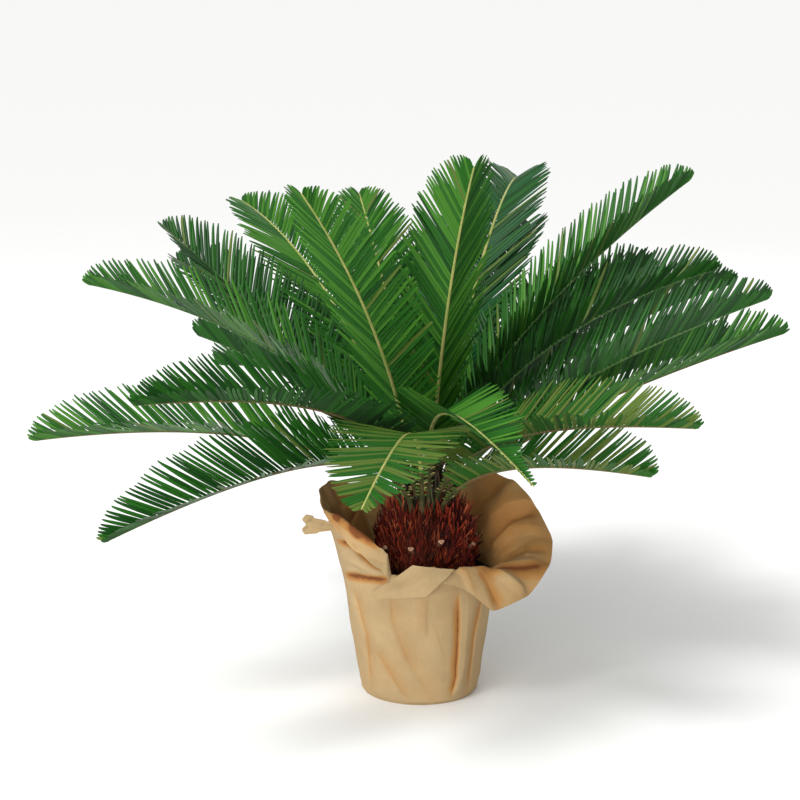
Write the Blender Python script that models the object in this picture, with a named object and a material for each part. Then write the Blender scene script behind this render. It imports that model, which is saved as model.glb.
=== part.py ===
"""Sago palm in a nursery pot wrapped in brown paper.

Metres, +Z up. The origin is the centre of the wrap's flat underside, and the front is -Y. A bearing is an
angle round the plant in degrees: 0 is the front, 90 the right (+X), 180 the back and -90 the left.
Every frond is one closed solid: a rib, with a pointed tooth on each side for every two leaflets there.
"""

import math
from itertools import combinations
from typing import NamedTuple

import bpy
from mathutils import Vector
from mathutils.bvhtree import BVHTree

# Driving dimensions: a 17 cm nursery pot, the palm's bulb and its leaves
POT_TOP_RADIUS = 0.0825
POT_FOOT_RADIUS = 0.0618
POT_HEIGHT = 0.1365
POT_WALL = 0.0016
SOIL_TOP = 0.118
PAPER = 0.0008
GAP = 0.0003
WRAP_TOP = 0.1370
WRAP_FOOT_RADIUS = 0.0635
BULB_X = 0.007
BULB_RADIUS = 0.055
BULB_TOP = 0.222
LEAFLET_LENGTH = 0.084
TOOTH_PITCH = 0.0128

# The pot's lip and the rounded corner round its foot
LIP_HEIGHT = 0.012
LIP_STEP = 0.0036
LIP_SLOPE = 0.001
CORNER_OUT = 0.003
CORNER_UP = 0.0037
SOIL_INSET = 0.0008

# Facets
POT_SIDES = 32
WRAP_SIDES = 48
BRIM_SIDES = 60
BRIM_ROWS = 7
BULB_SIDES = 34
BULB_ROWS = 16
PETIOLE_STEPS = 4
SHARP_ANGLE = math.radians(40)

# The wrap's pleats: nine fine ones, in four broader swells
PLEAT_DEPTH = 0.0016
PLEATS = 9
PLEAT_SHARE = 0.32
SWELLS = 4
SWELL_SHARE = 0.18
SWELL_START = 1.3
WRAP_EASE = 0.004
WRAP_HEIGHTS = (0.004, 0.045, 0.09, WRAP_TOP)

# The bulb: widest at its waist, tucked in below, and domed above, with old leaf bases in a spiral
BULB_WAIST = 0.155
BULB_TUCK = 0.007
BULB_DOME = 2.4
BULB_ROW_EASE = 0.55
GOLDEN_ANGLE = math.radians(137.508)
LEAF_BASES = 46
LEAF_BASE_HEIGHT = 0.0034
LEAF_BASE_WIDTH = 0.0085
LOWEST_LEAF_BASE = SOIL_TOP + 0.006
HIGHEST_LEAF_BASE = BULB_TOP - 0.032

# A frond's rib
PETIOLE_SHARE = 0.17
SEAT_GAP = 0.0007
FOOT_HALF_WIDTH = 0.0029
RIB_HALF_WIDTH = 0.0020
RIB_TIP_HALF_WIDTH = 0.0007
FOOT_HALF_DEPTH = 0.0023
RIB_HALF_DEPTH = 0.0012
RIB_TIP_HALF_DEPTH = 0.0006
RIB_POINT = 0.012
RIB_SWAY_LATE = 1.5
RIB_FINE_STEPS = 8
OUTER_SEAT = 0.031
INNER_SEAT = 0.006
SEAT_SPACING = 0.0086
SEAT_ROUNDS = 200
LOWEST_MEAN = 12
HIGHEST_MEAN = 62

# A tooth's angles in degrees. It leans forward by its frond's own angle at the blade's foot and by TIP_LEAN
# towards its tip. It is lifted by the first angle at the foot, and more by the second all along. The last few
# teeth are shorter by TIP_LOSS, and folded in to the rib by TIP_PINCH and by the third lift.
TIP_LEAN = 44
TIP_PINCH = 22
TIP_LOSS = 0.65
TIP_FOLD = 8
TIP_SHORTENING = 14
TOOTH_LIFT = (36, 12, 22)
SHORTEST_TOOTH = 0.36

# A tooth that would come this close to another frond is made shorter, or left out
TOOTH_CLEARANCE = 0.0005
TOOTH_TRIES = (1.0, 0.82, 0.66, 0.5, 0.34)


class Brim(NamedTuple):
    """One bearing of the flared brim: a crest above the rim, then the paper's edge, as radius and height."""

    bearing: float
    crest_out: float
    crest_up: float
    edge_out: float
    edge_up: float


BRIM = (
    Brim(0, 0.092, 0.167, 0.103, 0.137),
    Brim(25, 0.093, 0.164, 0.108, 0.131),
    Brim(45, 0.097, 0.163, 0.121, 0.118),
    Brim(62, 0.104, 0.158, 0.136, 0.128),
    Brim(78, 0.112, 0.160, 0.148, 0.152),
    Brim(92, 0.115, 0.167, 0.151, 0.170),
    Brim(108, 0.110, 0.180, 0.143, 0.200),
    Brim(125, 0.103, 0.190, 0.132, 0.226),
    Brim(145, 0.098, 0.190, 0.119, 0.238),
    Brim(170, 0.096, 0.182, 0.110, 0.220),
    Brim(195, 0.096, 0.175, 0.105, 0.206),
    Brim(225, 0.097, 0.183, 0.109, 0.222),
    Brim(250, 0.099, 0.190, 0.109, 0.234),
    Brim(270, 0.101, 0.195, 0.113, 0.232),
    Brim(288, 0.103, 0.205, 0.113, 0.215),
    Brim(302, 0.100, 0.208, 0.107, 0.196),
    Brim(318, 0.096, 0.196, 0.104, 0.180),
    Brim(333, 0.092, 0.186, 0.100, 0.166),
    Brim(343, 0.091, 0.169, 0.100, 0.143),
)


class Frond(NamedTuple):
    """One frond. Its rib leaves the bulb at the angle rise above level and ends at the angle fall.

    An early bend, under 1, arches the rib near its foot, and a late one, over 1, near its tip. Sway turns the
    tip to one side, and leaf scales the leaflets. Vee scales the V that their two rows stand in, lean is the
    angle between the rib and the lowest ones, and roll turns the blade about its rib, the right row downwards.
    """

    name: str
    bearing: float
    rise: float
    fall: float
    length: float
    bend: float
    sway: float = 0.0
    leaf: float = 1.0
    vee: float = 1.1
    lean: float = 60.0
    roll: float = 0.0


FRONDS = (
    Frond("frond_low_front_left", -3, 87, -21, 0.450, 0.52, -13, 1.0, 0.5, 66, 0),
    Frond("frond_low_left_1", -27, 90, -19, 0.485, 0.33, -35, 0.90, 0.95, 56, 17),
    Frond("frond_low_left_2", -60, 90, -4, 0.450, 0.27, -14, 0.95, 0.85, 56, 15),
    Frond("frond_mid_left_1", -22, 90, 2, 0.505, 0.32, -36, 0.90, 0.95, 56, 17),
    Frond("frond_mid_left_2", -77, 90, 13, 0.455, 0.44, -5, 1.0, 0.75, 58, 13),
    Frond("frond_mid_left_3", -115, 53, 34, 0.436, 0.75, 0, 1.0, 0.7, 56, 14),
    Frond("frond_mid_back_left_1", -128, 49, 18, 0.440, 1.10, -1, 1.0, 0.7, 56, 15),
    Frond("frond_top_back_left", -141, 60, 15, 0.475, 1.50, -1, 1.05, 0.35, 50, 8),
    Frond("frond_top_front_left", -31, 73, 42, 0.440, 1.00, 0, 1.05, 0.35, 46, 0),
    Frond("frond_top_back_1", -166, 72, 34, 0.455, 0.35, 0, 1.05, 0.35, 46, 0),
    Frond("frond_top_front", 15, 75, 52, 0.425, 1.80, 0, 1.05, 0.9, 38, 0),
    Frond("frond_top_back_2", 155, 67, -10, 0.555, 1.82, 16, 1.05, 0.5, 50, 0),
    Frond("frond_mid_back_right_1", 152, 80, 7, 0.435, 0.95, 6, 1.0, 0.8, 58, 0),
    Frond("frond_top_right", 76, 90, 38, 0.467, 0.40, 9, 1.05, 0.75, 58, -12),
    Frond("frond_mid_right_1", 68, 89, 18, 0.428, 0.53, 9, 1.0, 0.8, 56, -13),
    Frond("frond_mid_right_2", 55, 90, 23, 0.461, 0.22, 17, 1.0, 0.85, 56, -14),
    Frond("frond_mid_right_3", 68, 76, 19, 0.429, 0.24, 18, 1.0, 0.8, 56, -14),
    Frond("frond_low_right_1", 25, 88, 4, 0.441, 0.27, 32, 0.90, 0.9, 56, -16),
    Frond("frond_low_right_2", 27, 80, 1, 0.361, 0.27, 24, 0.90, 0.9, 56, -15),
    Frond("frond_low_front_right", -1, 88, -23, 0.470, 0.58, 32, 0.75, 0.8, 58, 0),
    Frond("frond_low_back_1", -101, 66, 17, 0.310, 0.70),
    Frond("frond_low_back_2", -140, 82, -10, 0.405, 0.40),
    Frond("frond_low_back_3", -172, 82, -16, 0.450, 0.42),
    Frond("frond_low_back_4", 150, 82, -12, 0.430, 0.40),
    Frond("frond_low_back_5", 110, 82, 2, 0.420, 0.36),
    Frond("frond_mid_back_1", -160, 84, 6, 0.450, 0.50),
    Frond("frond_mid_back_2", 178, 84, 12, 0.440, 0.50),
    Frond("frond_mid_back_3", 130, 84, 8, 0.430, 0.50),
    Frond("frond_mid_back_4", 96, 84, 16, 0.420, 0.45),
    Frond("frond_mid_back_5", 113, 84, 20, 0.380, 0.60),
)


def turned(bearing, out, up, centre_x=0.0):
    """The point at this bearing, in radians, this far out from the axis and this high."""
    return Vector((centre_x + out * math.sin(bearing), -out * math.cos(bearing), up))


def finish(name, colour, roughness):
    """A plain surface of this colour."""
    made = bpy.data.materials.new(name)
    made.use_nodes = True
    shader = made.node_tree.nodes["Principled BSDF"]
    shader.inputs["Base Color"].default_value = (*colour, 1.0)
    shader.inputs["Roughness"].default_value = roughness
    shader.inputs["Metallic"].default_value = 0.0
    return made


def place(name, points, faces, surface, smooth=True):
    """One named object with this mesh, already in its place."""
    mesh = bpy.data.meshes.new(name)
    mesh.from_pydata([tuple(p) for p in points], [], faces)
    mesh.materials.append(surface)
    if smooth:
        mesh.shade_smooth()
        mesh.set_sharp_from_angle(angle=SHARP_ANGLE)
    mesh.update()
    body = bpy.data.objects.new(name, mesh)
    bpy.context.scene.collection.objects.link(body)
    return body


def lathe(profile, sides, out_of_round=None, centre_x=0.0):
    """Points and faces of a solid turned about the vertical axis, from its foot on the axis to its top there."""
    points = [Vector((centre_x, 0.0, profile[0][1]))]
    for out, up in profile[1:-1]:
        for side in range(sides):
            bearing = 2 * math.pi * side / sides
            extra = out_of_round(bearing, out, up) if out_of_round else 0.0
            points.append(turned(bearing, out + extra, up, centre_x))
    points.append(Vector((centre_x, 0.0, profile[-1][1])))
    rings = len(profile) - 2
    faces = []
    for side in range(sides):
        after = (side + 1) % sides
        faces.append((0, 1 + after, 1 + side))
        for ring in range(rings - 1):
            low = 1 + ring * sides
            high = low + sides
            faces.append((low + side, low + after, high + after, high + side))
        last = 1 + (rings - 1) * sides
        faces.append((last + side, last + after, len(points) - 1))
    return points, faces


def pleats(bearing, up):
    """How far the wrap stands off the pot: soft pleats that fade out at the foot."""
    fine = PLEAT_SHARE * math.sin(PLEATS * bearing)
    broad = SWELL_SHARE * math.sin(SWELLS * bearing + SWELL_START)
    return PLEAT_DEPTH * (PLEAT_SHARE + SWELL_SHARE + fine + broad) * min(1.0, up / WRAP_TOP)


def wrap_radius(up):
    """The wrap's outer radius at this height, without its pleats."""
    foot = WRAP_FOOT_RADIUS + CORNER_OUT
    top = POT_TOP_RADIUS + WRAP_EASE
    low = WRAP_HEIGHTS[0]
    return foot + (top - foot) * (up - low) / (WRAP_TOP - low)


def pot_bore(up):
    """The radius of the pot's tapered inside at this height, between its foot's corner and its lip."""
    low, high = PAPER + GAP + CORNER_UP, POT_HEIGHT - LIP_HEIGHT
    foot, top = POT_FOOT_RADIUS + CORNER_OUT - POT_WALL, POT_TOP_RADIUS - LIP_STEP - POT_WALL
    return foot + (top - foot) * (up - low) / (high - low)


def build_pot(surface):
    """The nursery pot: a tapered tub with a lip round its rim."""
    floor = PAPER + GAP
    corner = floor + CORNER_UP
    lip_foot = POT_HEIGHT - LIP_HEIGHT
    profile = (
        (0.0, floor),
        (POT_FOOT_RADIUS, floor),
        (POT_FOOT_RADIUS + CORNER_OUT, corner),
        (POT_TOP_RADIUS - LIP_STEP, lip_foot),
        (POT_TOP_RADIUS, lip_foot + LIP_SLOPE),
        (POT_TOP_RADIUS, POT_HEIGHT),
        (POT_TOP_RADIUS - 2 * POT_WALL, POT_HEIGHT),
        (pot_bore(lip_foot), lip_foot),
        (pot_bore(corner), corner + LIP_SLOPE),
        (POT_FOOT_RADIUS - POT_WALL, floor + POT_WALL),
        (0.0, floor + POT_WALL),
    )
    return place("nursery_pot", *lathe(profile, POT_SIDES), surface)


def build_soil(surface):
    """The soil, one plug that fills the pot to just under its rim."""
    low = PAPER + 2 * GAP + POT_WALL
    corner = low + CORNER_UP + LIP_SLOPE
    profile = (
        (0.0, low),
        (POT_FOOT_RADIUS - POT_WALL - SOIL_INSET, low),
        (pot_bore(corner) - SOIL_INSET, corner),
        (pot_bore(SOIL_TOP) - SOIL_INSET, SOIL_TOP),
        (0.0, SOIL_TOP),
    )
    return place("soil", *lathe(profile, POT_SIDES), surface)


def build_wrap(surface):
    """The paper round the pot: a closed foot and a pleated side."""

    def stand_off(bearing, _out, up):
        return pleats(bearing, up)

    profile = [(0.0, 0.0), (WRAP_FOOT_RADIUS, 0.0)]
    profile += [(wrap_radius(up), up) for up in WRAP_HEIGHTS]
    profile += [(wrap_radius(up) - PAPER, up) for up in reversed(WRAP_HEIGHTS)]
    profile += [(WRAP_FOOT_RADIUS - PAPER / 4, PAPER), (0.0, PAPER)]
    return place("paper_wrap", *lathe(profile, WRAP_SIDES, stand_off), surface)


def between(low, high, share):
    """A smooth step from one brim bearing to the next."""
    eased = share * share * (3 - 2 * share)
    return [a + (b - a) * eased for a, b in zip(low[1:], high[1:])]


def brim_at(bearing_degrees):
    """Crest and edge of the brim at any bearing: (crest_out, crest_up, edge_out, edge_up)."""
    turn = bearing_degrees % 360
    stops = list(BRIM) + [BRIM[0]._replace(bearing=360)]
    for low, high in zip(stops, stops[1:]):
        if low.bearing <= turn <= high.bearing:
            return between(low, high, (turn - low.bearing) / (high.bearing - low.bearing))
    raise ValueError(f"no brim at {bearing_degrees}")


def brim_point(bearing, along):
    """The middle of the paper at this bearing, from the rim (along 0) over the crest to the edge (along 1)."""
    crest_out, crest_up, edge_out, edge_up = brim_at(math.degrees(bearing))
    rim_up = WRAP_TOP + GAP
    rim_out = wrap_radius(rim_up) + pleats(bearing, rim_up) - PAPER / 2
    rim, crest, edge = (Vector(p) for p in ((rim_out, rim_up), (crest_out, crest_up), (edge_out, edge_up)))
    pull = 2 * crest - (rim + edge) / 2
    out, up = (1 - along) ** 2 * rim + 2 * along * (1 - along) * pull + along**2 * edge
    return turned(bearing, out, up)


def build_brim(surface):
    """The flared brim: folded down at the front, wide at the right and standing at the back and left."""
    rows = [
        [brim_point(2 * math.pi * side / BRIM_SIDES, row / (BRIM_ROWS - 1)) for side in range(BRIM_SIDES)]
        for row in range(BRIM_ROWS)
    ]
    faces_out, faces_in = [], []
    for row in range(BRIM_ROWS):
        for side in range(BRIM_SIDES):
            across = rows[row][(side + 1) % BRIM_SIDES] - rows[row][side - 1]
            low, high = rows[max(row - 1, 0)][side], rows[min(row + 1, BRIM_ROWS - 1)][side]
            offset = across.cross(high - low).normalized() * PAPER / 2
            faces_out.append(rows[row][side] + offset)
            faces_in.append(rows[row][side] - offset)
    for side in range(BRIM_SIDES):
        for shell in (faces_out, faces_in):
            shell[side].z = WRAP_TOP + GAP
    points = faces_out + faces_in
    inner = len(faces_out)
    faces = []
    for side in range(BRIM_SIDES):
        after = (side + 1) % BRIM_SIDES
        for row in range(BRIM_ROWS - 1):
            low, high = row * BRIM_SIDES, (row + 1) * BRIM_SIDES
            faces.append((low + side, low + after, high + after, high + side))
            faces.append((inner + high + side, inner + high + after, inner + low + after, inner + low + side))
        last = (BRIM_ROWS - 1) * BRIM_SIDES
        faces.append((last + side, last + after, inner + last + after, inner + last + side))
        faces.append((inner + side, inner + after, after, side))
    return place("paper_brim", points, faces, surface)


def bulb_radius(up):
    """The bulb's radius at this height: widest low down, and domed at its top."""
    if up < BULB_WAIST:
        return BULB_RADIUS - BULB_TUCK * ((BULB_WAIST - up) / (BULB_WAIST - SOIL_TOP)) ** 2
    share = (up - BULB_WAIST) / (BULB_TOP - BULB_WAIST)
    return BULB_RADIUS * math.sqrt(max(0.0, 1 - share**BULB_DOME))


def leaf_base_bumps():
    """Where the old leaf bases stand on the bulb, as bearing and height, in a golden-angle spiral."""
    step = (HIGHEST_LEAF_BASE - LOWEST_LEAF_BASE) / (LEAF_BASES - 1)
    heights = [LOWEST_LEAF_BASE + step * index for index in range(LEAF_BASES)]
    return [((index * GOLDEN_ANGLE) % (2 * math.pi), up) for index, up in enumerate(heights)]


def build_bulb(surface):
    """The swollen stem, knobbly with old leaf bases, on a flat foot."""
    bumps = leaf_base_bumps()

    def knobs(bearing, _out, up):
        rise = 0.0
        for base_bearing, base_up in bumps:
            turn = (bearing - base_bearing + math.pi) % (2 * math.pi) - math.pi
            apart = math.hypot(turn * BULB_RADIUS, up - base_up) / LEAF_BASE_WIDTH
            rise = max(rise, 1 - apart * apart)
        return LEAF_BASE_HEIGHT * rise

    foot = SOIL_TOP + GAP
    profile = [(0.0, foot)]
    for row in range(BULB_ROWS):
        share = row / BULB_ROWS
        eased = BULB_ROW_EASE * math.sin(math.pi / 2 * share) + (1 - BULB_ROW_EASE) * share
        up = foot + (BULB_TOP - foot) * eased
        profile.append((bulb_radius(up), up))
    profile.append((0.0, BULB_TOP))
    return place("bulb", *lathe(profile, BULB_SIDES, knobs, BULB_X), surface)


def rib_line(frond, share):
    """The rib's three directions at this share of its length: ahead along it, across it to the right, and up."""
    rise, fall = math.radians(frond.rise), math.radians(frond.fall)
    slope = rise + (fall - rise) * share**frond.bend
    bearing = math.radians(frond.bearing + frond.sway * share**RIB_SWAY_LATE)
    ahead = Vector((math.sin(bearing) * math.cos(slope), -math.cos(bearing) * math.cos(slope), math.sin(slope)))
    across = Vector((math.cos(bearing), math.sin(bearing), 0.0))
    return ahead, across, ahead.cross(across)


def half_sizes(share):
    """Half the rib's width and depth at this share of its length."""
    if share < PETIOLE_SHARE:
        part = share / PETIOLE_SHARE
        return (
            FOOT_HALF_WIDTH + (RIB_HALF_WIDTH - FOOT_HALF_WIDTH) * part,
            FOOT_HALF_DEPTH + (RIB_HALF_DEPTH - FOOT_HALF_DEPTH) * part,
        )
    part = (share - PETIOLE_SHARE) / (1 - PETIOLE_SHARE)
    return (
        RIB_HALF_WIDTH + (RIB_TIP_HALF_WIDTH - RIB_HALF_WIDTH) * part,
        RIB_HALF_DEPTH + (RIB_TIP_HALF_DEPTH - RIB_HALF_DEPTH) * part,
    )


def spread_seats():
    """Where each rib stands, seen from above: upright fronds near the middle, low ones round the shoulder.

    Seats that would lie too close are pushed apart, a little each round.
    """
    seats = []
    for frond in FRONDS:
        mean = frond.rise + (frond.fall - frond.rise) / (1 + frond.bend)
        upright = min(1.0, max(0.0, (mean - LOWEST_MEAN) / (HIGHEST_MEAN - LOWEST_MEAN)))
        out = OUTER_SEAT + (INNER_SEAT - OUTER_SEAT) * upright
        seats.append(turned(math.radians(frond.bearing), out, 0.0, BULB_X))
    for _ in range(SEAT_ROUNDS):
        for first, second in combinations(seats, 2):
            apart = second - first
            if apart.length < SEAT_SPACING:
                push = apart.normalized() * (SEAT_SPACING - apart.length) / 2
                first -= push
                second += push
    return seats


def rib_stations(frond):
    """Shares of the length where the rib has a ring: a few along the bare petiole, then one for each tooth."""
    teeth = round(frond.length * (1 - PETIOLE_SHARE) / TOOTH_PITCH)
    bare = [PETIOLE_SHARE * step / PETIOLE_STEPS for step in range(PETIOLE_STEPS)]
    return bare + [PETIOLE_SHARE + (1 - PETIOLE_SHARE) * step / teeth for step in range(teeth + 1)]


def build_rib(frond, seat, bulb_tree):
    """Rings of four corners along the rib, with its directions at each, and its foot shaped to the bulb."""
    stations = rib_stations(frond)
    above = Vector((seat.x, seat.y, 2 * BULB_TOP))
    centre = bulb_tree.ray_cast(above, Vector((0, 0, -1)))[0] + rib_line(frond, 0.0)[0] * SEAT_GAP
    rings, lines = [], []
    for before, share in zip([0.0] + stations, stations):
        step = (share - before) / RIB_FINE_STEPS
        for part in range(RIB_FINE_STEPS):
            ahead = rib_line(frond, before + (part + 0.5) * step)[0]
            centre = centre + ahead * step * frond.length
        ahead, across, up = rib_line(frond, share)
        wide, deep = half_sizes(share)
        corners = ((-wide, -deep), (wide, -deep), (wide, deep), (-wide, deep))
        rings.append([centre + across * x + up * y for x, y in corners])
        lines.append((centre.copy(), ahead, across, up))
    ahead = lines[0][1]
    for corner, point in enumerate(rings[0]):
        hit = bulb_tree.ray_cast(point + ahead * LEAF_BASE_WIDTH, -ahead)[0]
        rings[0][corner] = hit + ahead * SEAT_GAP
    return rings, lines, stations


def tooth_angles(frond, share, side):
    """How far a tooth leans towards the rib and stands up, in radians, at this share of the blade."""
    foot, along, near_tip = TOOTH_LIFT
    fold = share**TIP_FOLD
    lean = frond.lean + (TIP_LEAN - frond.lean) * share - TIP_PINCH * fold
    lift = (foot + along * share) * frond.vee + near_tip * fold - frond.roll * side
    return math.radians(lean), math.radians(lift)


def tooth_reach(frond, line, share, side):
    """From the rib to the tooth's tip, at this share of the blade. Teeth lean forward and stand in a V."""
    _, ahead, across, up = line
    swell = math.sin(math.pi * share**0.72) ** 0.7
    length = LEAFLET_LENGTH * frond.leaf * (SHORTEST_TOOTH + (1 - SHORTEST_TOOTH) * swell)
    length *= 1 - TIP_LOSS * share**TIP_SHORTENING
    lean, lift = tooth_angles(frond, share, side)
    sideways = across * side * math.cos(lift) + up * math.sin(lift)
    return (ahead * math.cos(lean) + sideways * math.sin(lean)) * length


def bare_rib(rings, lines):
    """The rib alone, with its point, as points and faces."""
    points = [point for ring in rings for point in ring]
    points.append(lines[-1][0] + lines[-1][1] * RIB_POINT)
    faces = [(3, 2, 1, 0)]
    for low in range(0, len(points) - 5, 4):
        faces += [(low + c, low + (c + 1) % 4, low + 4 + (c + 1) % 4, low + 4 + c) for c in range(4)]
    last = len(points) - 5
    faces += [(last + c, last + (c + 1) % 4, last + 4) for c in range(4)]
    return points, faces


def tree_of(parts):
    """A search tree of several (points, faces) pairs."""
    points, faces = [], []
    for some_points, some_faces in parts:
        start = len(points)
        points += some_points
        faces += [tuple(start + corner for corner in face) for face in some_faces]
    return BVHTree.FromPolygons(points, faces)


def is_clear(root, tip, others):
    """True if a tooth with this root and tip, grown by the clearance, touches nothing."""
    middle = sum(root, Vector()) / 4
    spread = [(point - middle).normalized() * TOOTH_CLEARANCE for point in root]
    end = tip + (tip - middle).normalized() * TOOTH_CLEARANCE
    points = [point + out for point, out in zip(root, spread)] + [end + out for out in spread]
    faces = [(c, (c + 1) % 4, 4 + (c + 1) % 4, 4 + c) for c in range(4)] + [(4, 5, 6, 7)]
    return not BVHTree.FromPolygons(points, faces).overlap(others)


def tooth_faces(root, tip_index):
    """Four faces from a side face of the rib to the tooth's tip."""
    return [(root[c], root[(c + 1) % 4], tip_index) for c in range(4)]


def build_frond(frond, rings, lines, stations, others, surface):
    """The whole frond: the rib, with a tooth drawn out of each of its side faces where there is room."""
    points, sides = bare_rib(rings, lines)
    faces = []
    for face in sides:
        step, left = face[0] // 4, face[0] % 4 == 3
        is_side = len(face) == 4 and face[0] % 4 in (1, 3) and face != sides[0]
        if not is_side or step < PETIOLE_STEPS:
            faces.append(face)
            continue
        share = (stations[step] - PETIOLE_SHARE) / (1 - PETIOLE_SHARE)
        reach = tooth_reach(frond, lines[step], share, -1 if left else 1)
        root = [points[corner] for corner in face]
        middle = sum(root, Vector()) / 4
        tips = (middle + reach * size for size in TOOTH_TRIES)
        tip = next((tip for tip in tips if is_clear(root, tip, others)), None)
        if tip is None:
            faces.append(face)
            continue
        points.append(tip)
        faces += tooth_faces(face, len(points) - 1)
    place(frond.name, points, faces, surface, smooth=False)
    return points, faces


def mesh_of(body):
    """(points, faces) of an object."""
    return [v.co.copy() for v in body.data.vertices], [tuple(f.vertices) for f in body.data.polygons]


def main():
    for old in list(bpy.data.objects):
        bpy.data.objects.remove(old)
    paper = finish("brown_paper", (0.62, 0.44, 0.25), 0.75)
    build_pot(finish("black_plastic", (0.03, 0.03, 0.03), 0.5))
    build_soil(finish("potting_soil", (0.05, 0.03, 0.02), 0.95))
    wrap = build_wrap(paper)
    brim = build_brim(paper)
    bulb = build_bulb(finish("bulb_fibre", (0.20, 0.05, 0.02), 0.9))
    leaf = finish("green_frond", (0.05, 0.20, 0.03), 0.45)
    bulb_tree = tree_of([mesh_of(bulb)])
    ribs = {frond.name: build_rib(frond, seat, bulb_tree) for frond, seat in zip(FRONDS, spread_seats())}
    solid = [mesh_of(body) for body in (wrap, brim, bulb)]
    grown = []
    for frond in FRONDS:
        rings, lines, stations = ribs[frond.name]
        bare = [bare_rib(*other[:2]) for name, other in ribs.items() if name != frond.name]
        grown.append(build_frond(frond, rings, lines, stations, tree_of(solid + bare + grown), leaf))


main()
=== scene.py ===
"""Sago palm in a nursery pot wrapped in brown kraft paper: the visible model.

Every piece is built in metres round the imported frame, in the frame's axes: +Z up, the front of the plant at
-Y and the origin under the wrap's foot. A bearing is an angle round the plant in degrees: 0 is the front, 90
the right (+X), 180 the back and -90 the left.
"""

import logging
import math
from dataclasses import dataclass, field
from enum import Enum
from itertools import combinations
from typing import Any, Callable, Iterable, Sequence

import bpy
import numpy as np
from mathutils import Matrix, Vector, noise
from mathutils.bvhtree import BVHTree


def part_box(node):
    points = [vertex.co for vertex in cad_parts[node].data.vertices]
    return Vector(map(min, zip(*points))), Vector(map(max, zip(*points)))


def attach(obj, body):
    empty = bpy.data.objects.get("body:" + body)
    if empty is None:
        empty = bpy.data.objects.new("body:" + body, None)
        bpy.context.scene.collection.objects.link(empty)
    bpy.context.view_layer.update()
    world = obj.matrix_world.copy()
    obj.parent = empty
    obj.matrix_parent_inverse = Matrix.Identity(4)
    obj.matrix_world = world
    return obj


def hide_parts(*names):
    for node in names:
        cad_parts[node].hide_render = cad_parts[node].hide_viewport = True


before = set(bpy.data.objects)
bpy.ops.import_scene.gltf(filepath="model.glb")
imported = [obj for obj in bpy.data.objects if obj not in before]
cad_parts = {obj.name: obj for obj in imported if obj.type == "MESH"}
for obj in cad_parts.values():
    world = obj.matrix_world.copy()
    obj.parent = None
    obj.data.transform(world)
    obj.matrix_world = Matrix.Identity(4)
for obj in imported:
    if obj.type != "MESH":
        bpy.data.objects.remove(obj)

LOG = logging.getLogger("sago_palm")
BODY = "root"
SEED = 11
Colour = tuple[float, float, float]


class Slot(Enum):
    """The material slots that the pieces belong to."""

    SOIL = "soil"
    WRAP = "wrap"
    BRIM = "brim"
    BULB = "bulb"
    FROND = "frond"


class NodeSheet:
    """A node tree, with short ways to add a node and to feed its sockets."""

    def __init__(self, tree: bpy.types.NodeTree) -> None:
        """Takes over a tree.

        Args:
            tree: A shader or geometry node tree.
        """
        self.tree = tree

    def feed(self, socket: bpy.types.NodeSocket, value: Any) -> None:
        """Sets a socket to a value, or joins it to another node's output.

        Args:
            socket: The input to feed.
            value: A plain value, an output socket, or a node whose first output is meant.
        """
        if isinstance(value, bpy.types.Node):
            value = value.outputs[0]
        if isinstance(value, bpy.types.NodeSocket):
            self.tree.links.new(value, socket)
        else:
            socket.default_value = value

    def add(self, kind: str, feeds: dict[int | str, Any] | None = None, **settings: Any) -> bpy.types.Node:
        """Adds a node.

        Args:
            kind: The node's type name.
            feeds: What goes into its inputs, by the input's name or number.
            **settings: The node's own properties.

        Returns:
            The new node.
        """
        node = self.tree.nodes.new(kind)
        for key, value in settings.items():
            setattr(node, key, value)
        for socket, value in (feeds or {}).items():
            self.feed(node.inputs[socket], value)
        return node

    def math(self, operation: str, first: Any, second: Any = 0.0) -> bpy.types.Node:
        """A sum, product or other step on numbers.

        Args:
            operation: The name of the step, such as MULTIPLY.
            first: The first number or socket.
            second: The second number or socket.

        Returns:
            The new node.
        """
        return self.add("ShaderNodeMath", {0: first, 1: second}, operation=operation)

    def curve(self, value: Any, stops: Sequence[tuple[float, float]]) -> bpy.types.Node:
        """A number shaped by a curve through a few stops.

        Args:
            value: The number that goes in.
            stops: Places along the curve, as (in, out).

        Returns:
            The new node.
        """
        node = self.add("ShaderNodeFloatCurve", {"Value": value})
        points = node.mapping.curves[0].points
        points[0].location, points[1].location = stops[0], stops[-1]
        for stop in stops[1:-1]:
            points.new(*stop)
        node.mapping.update()
        return node


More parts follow.
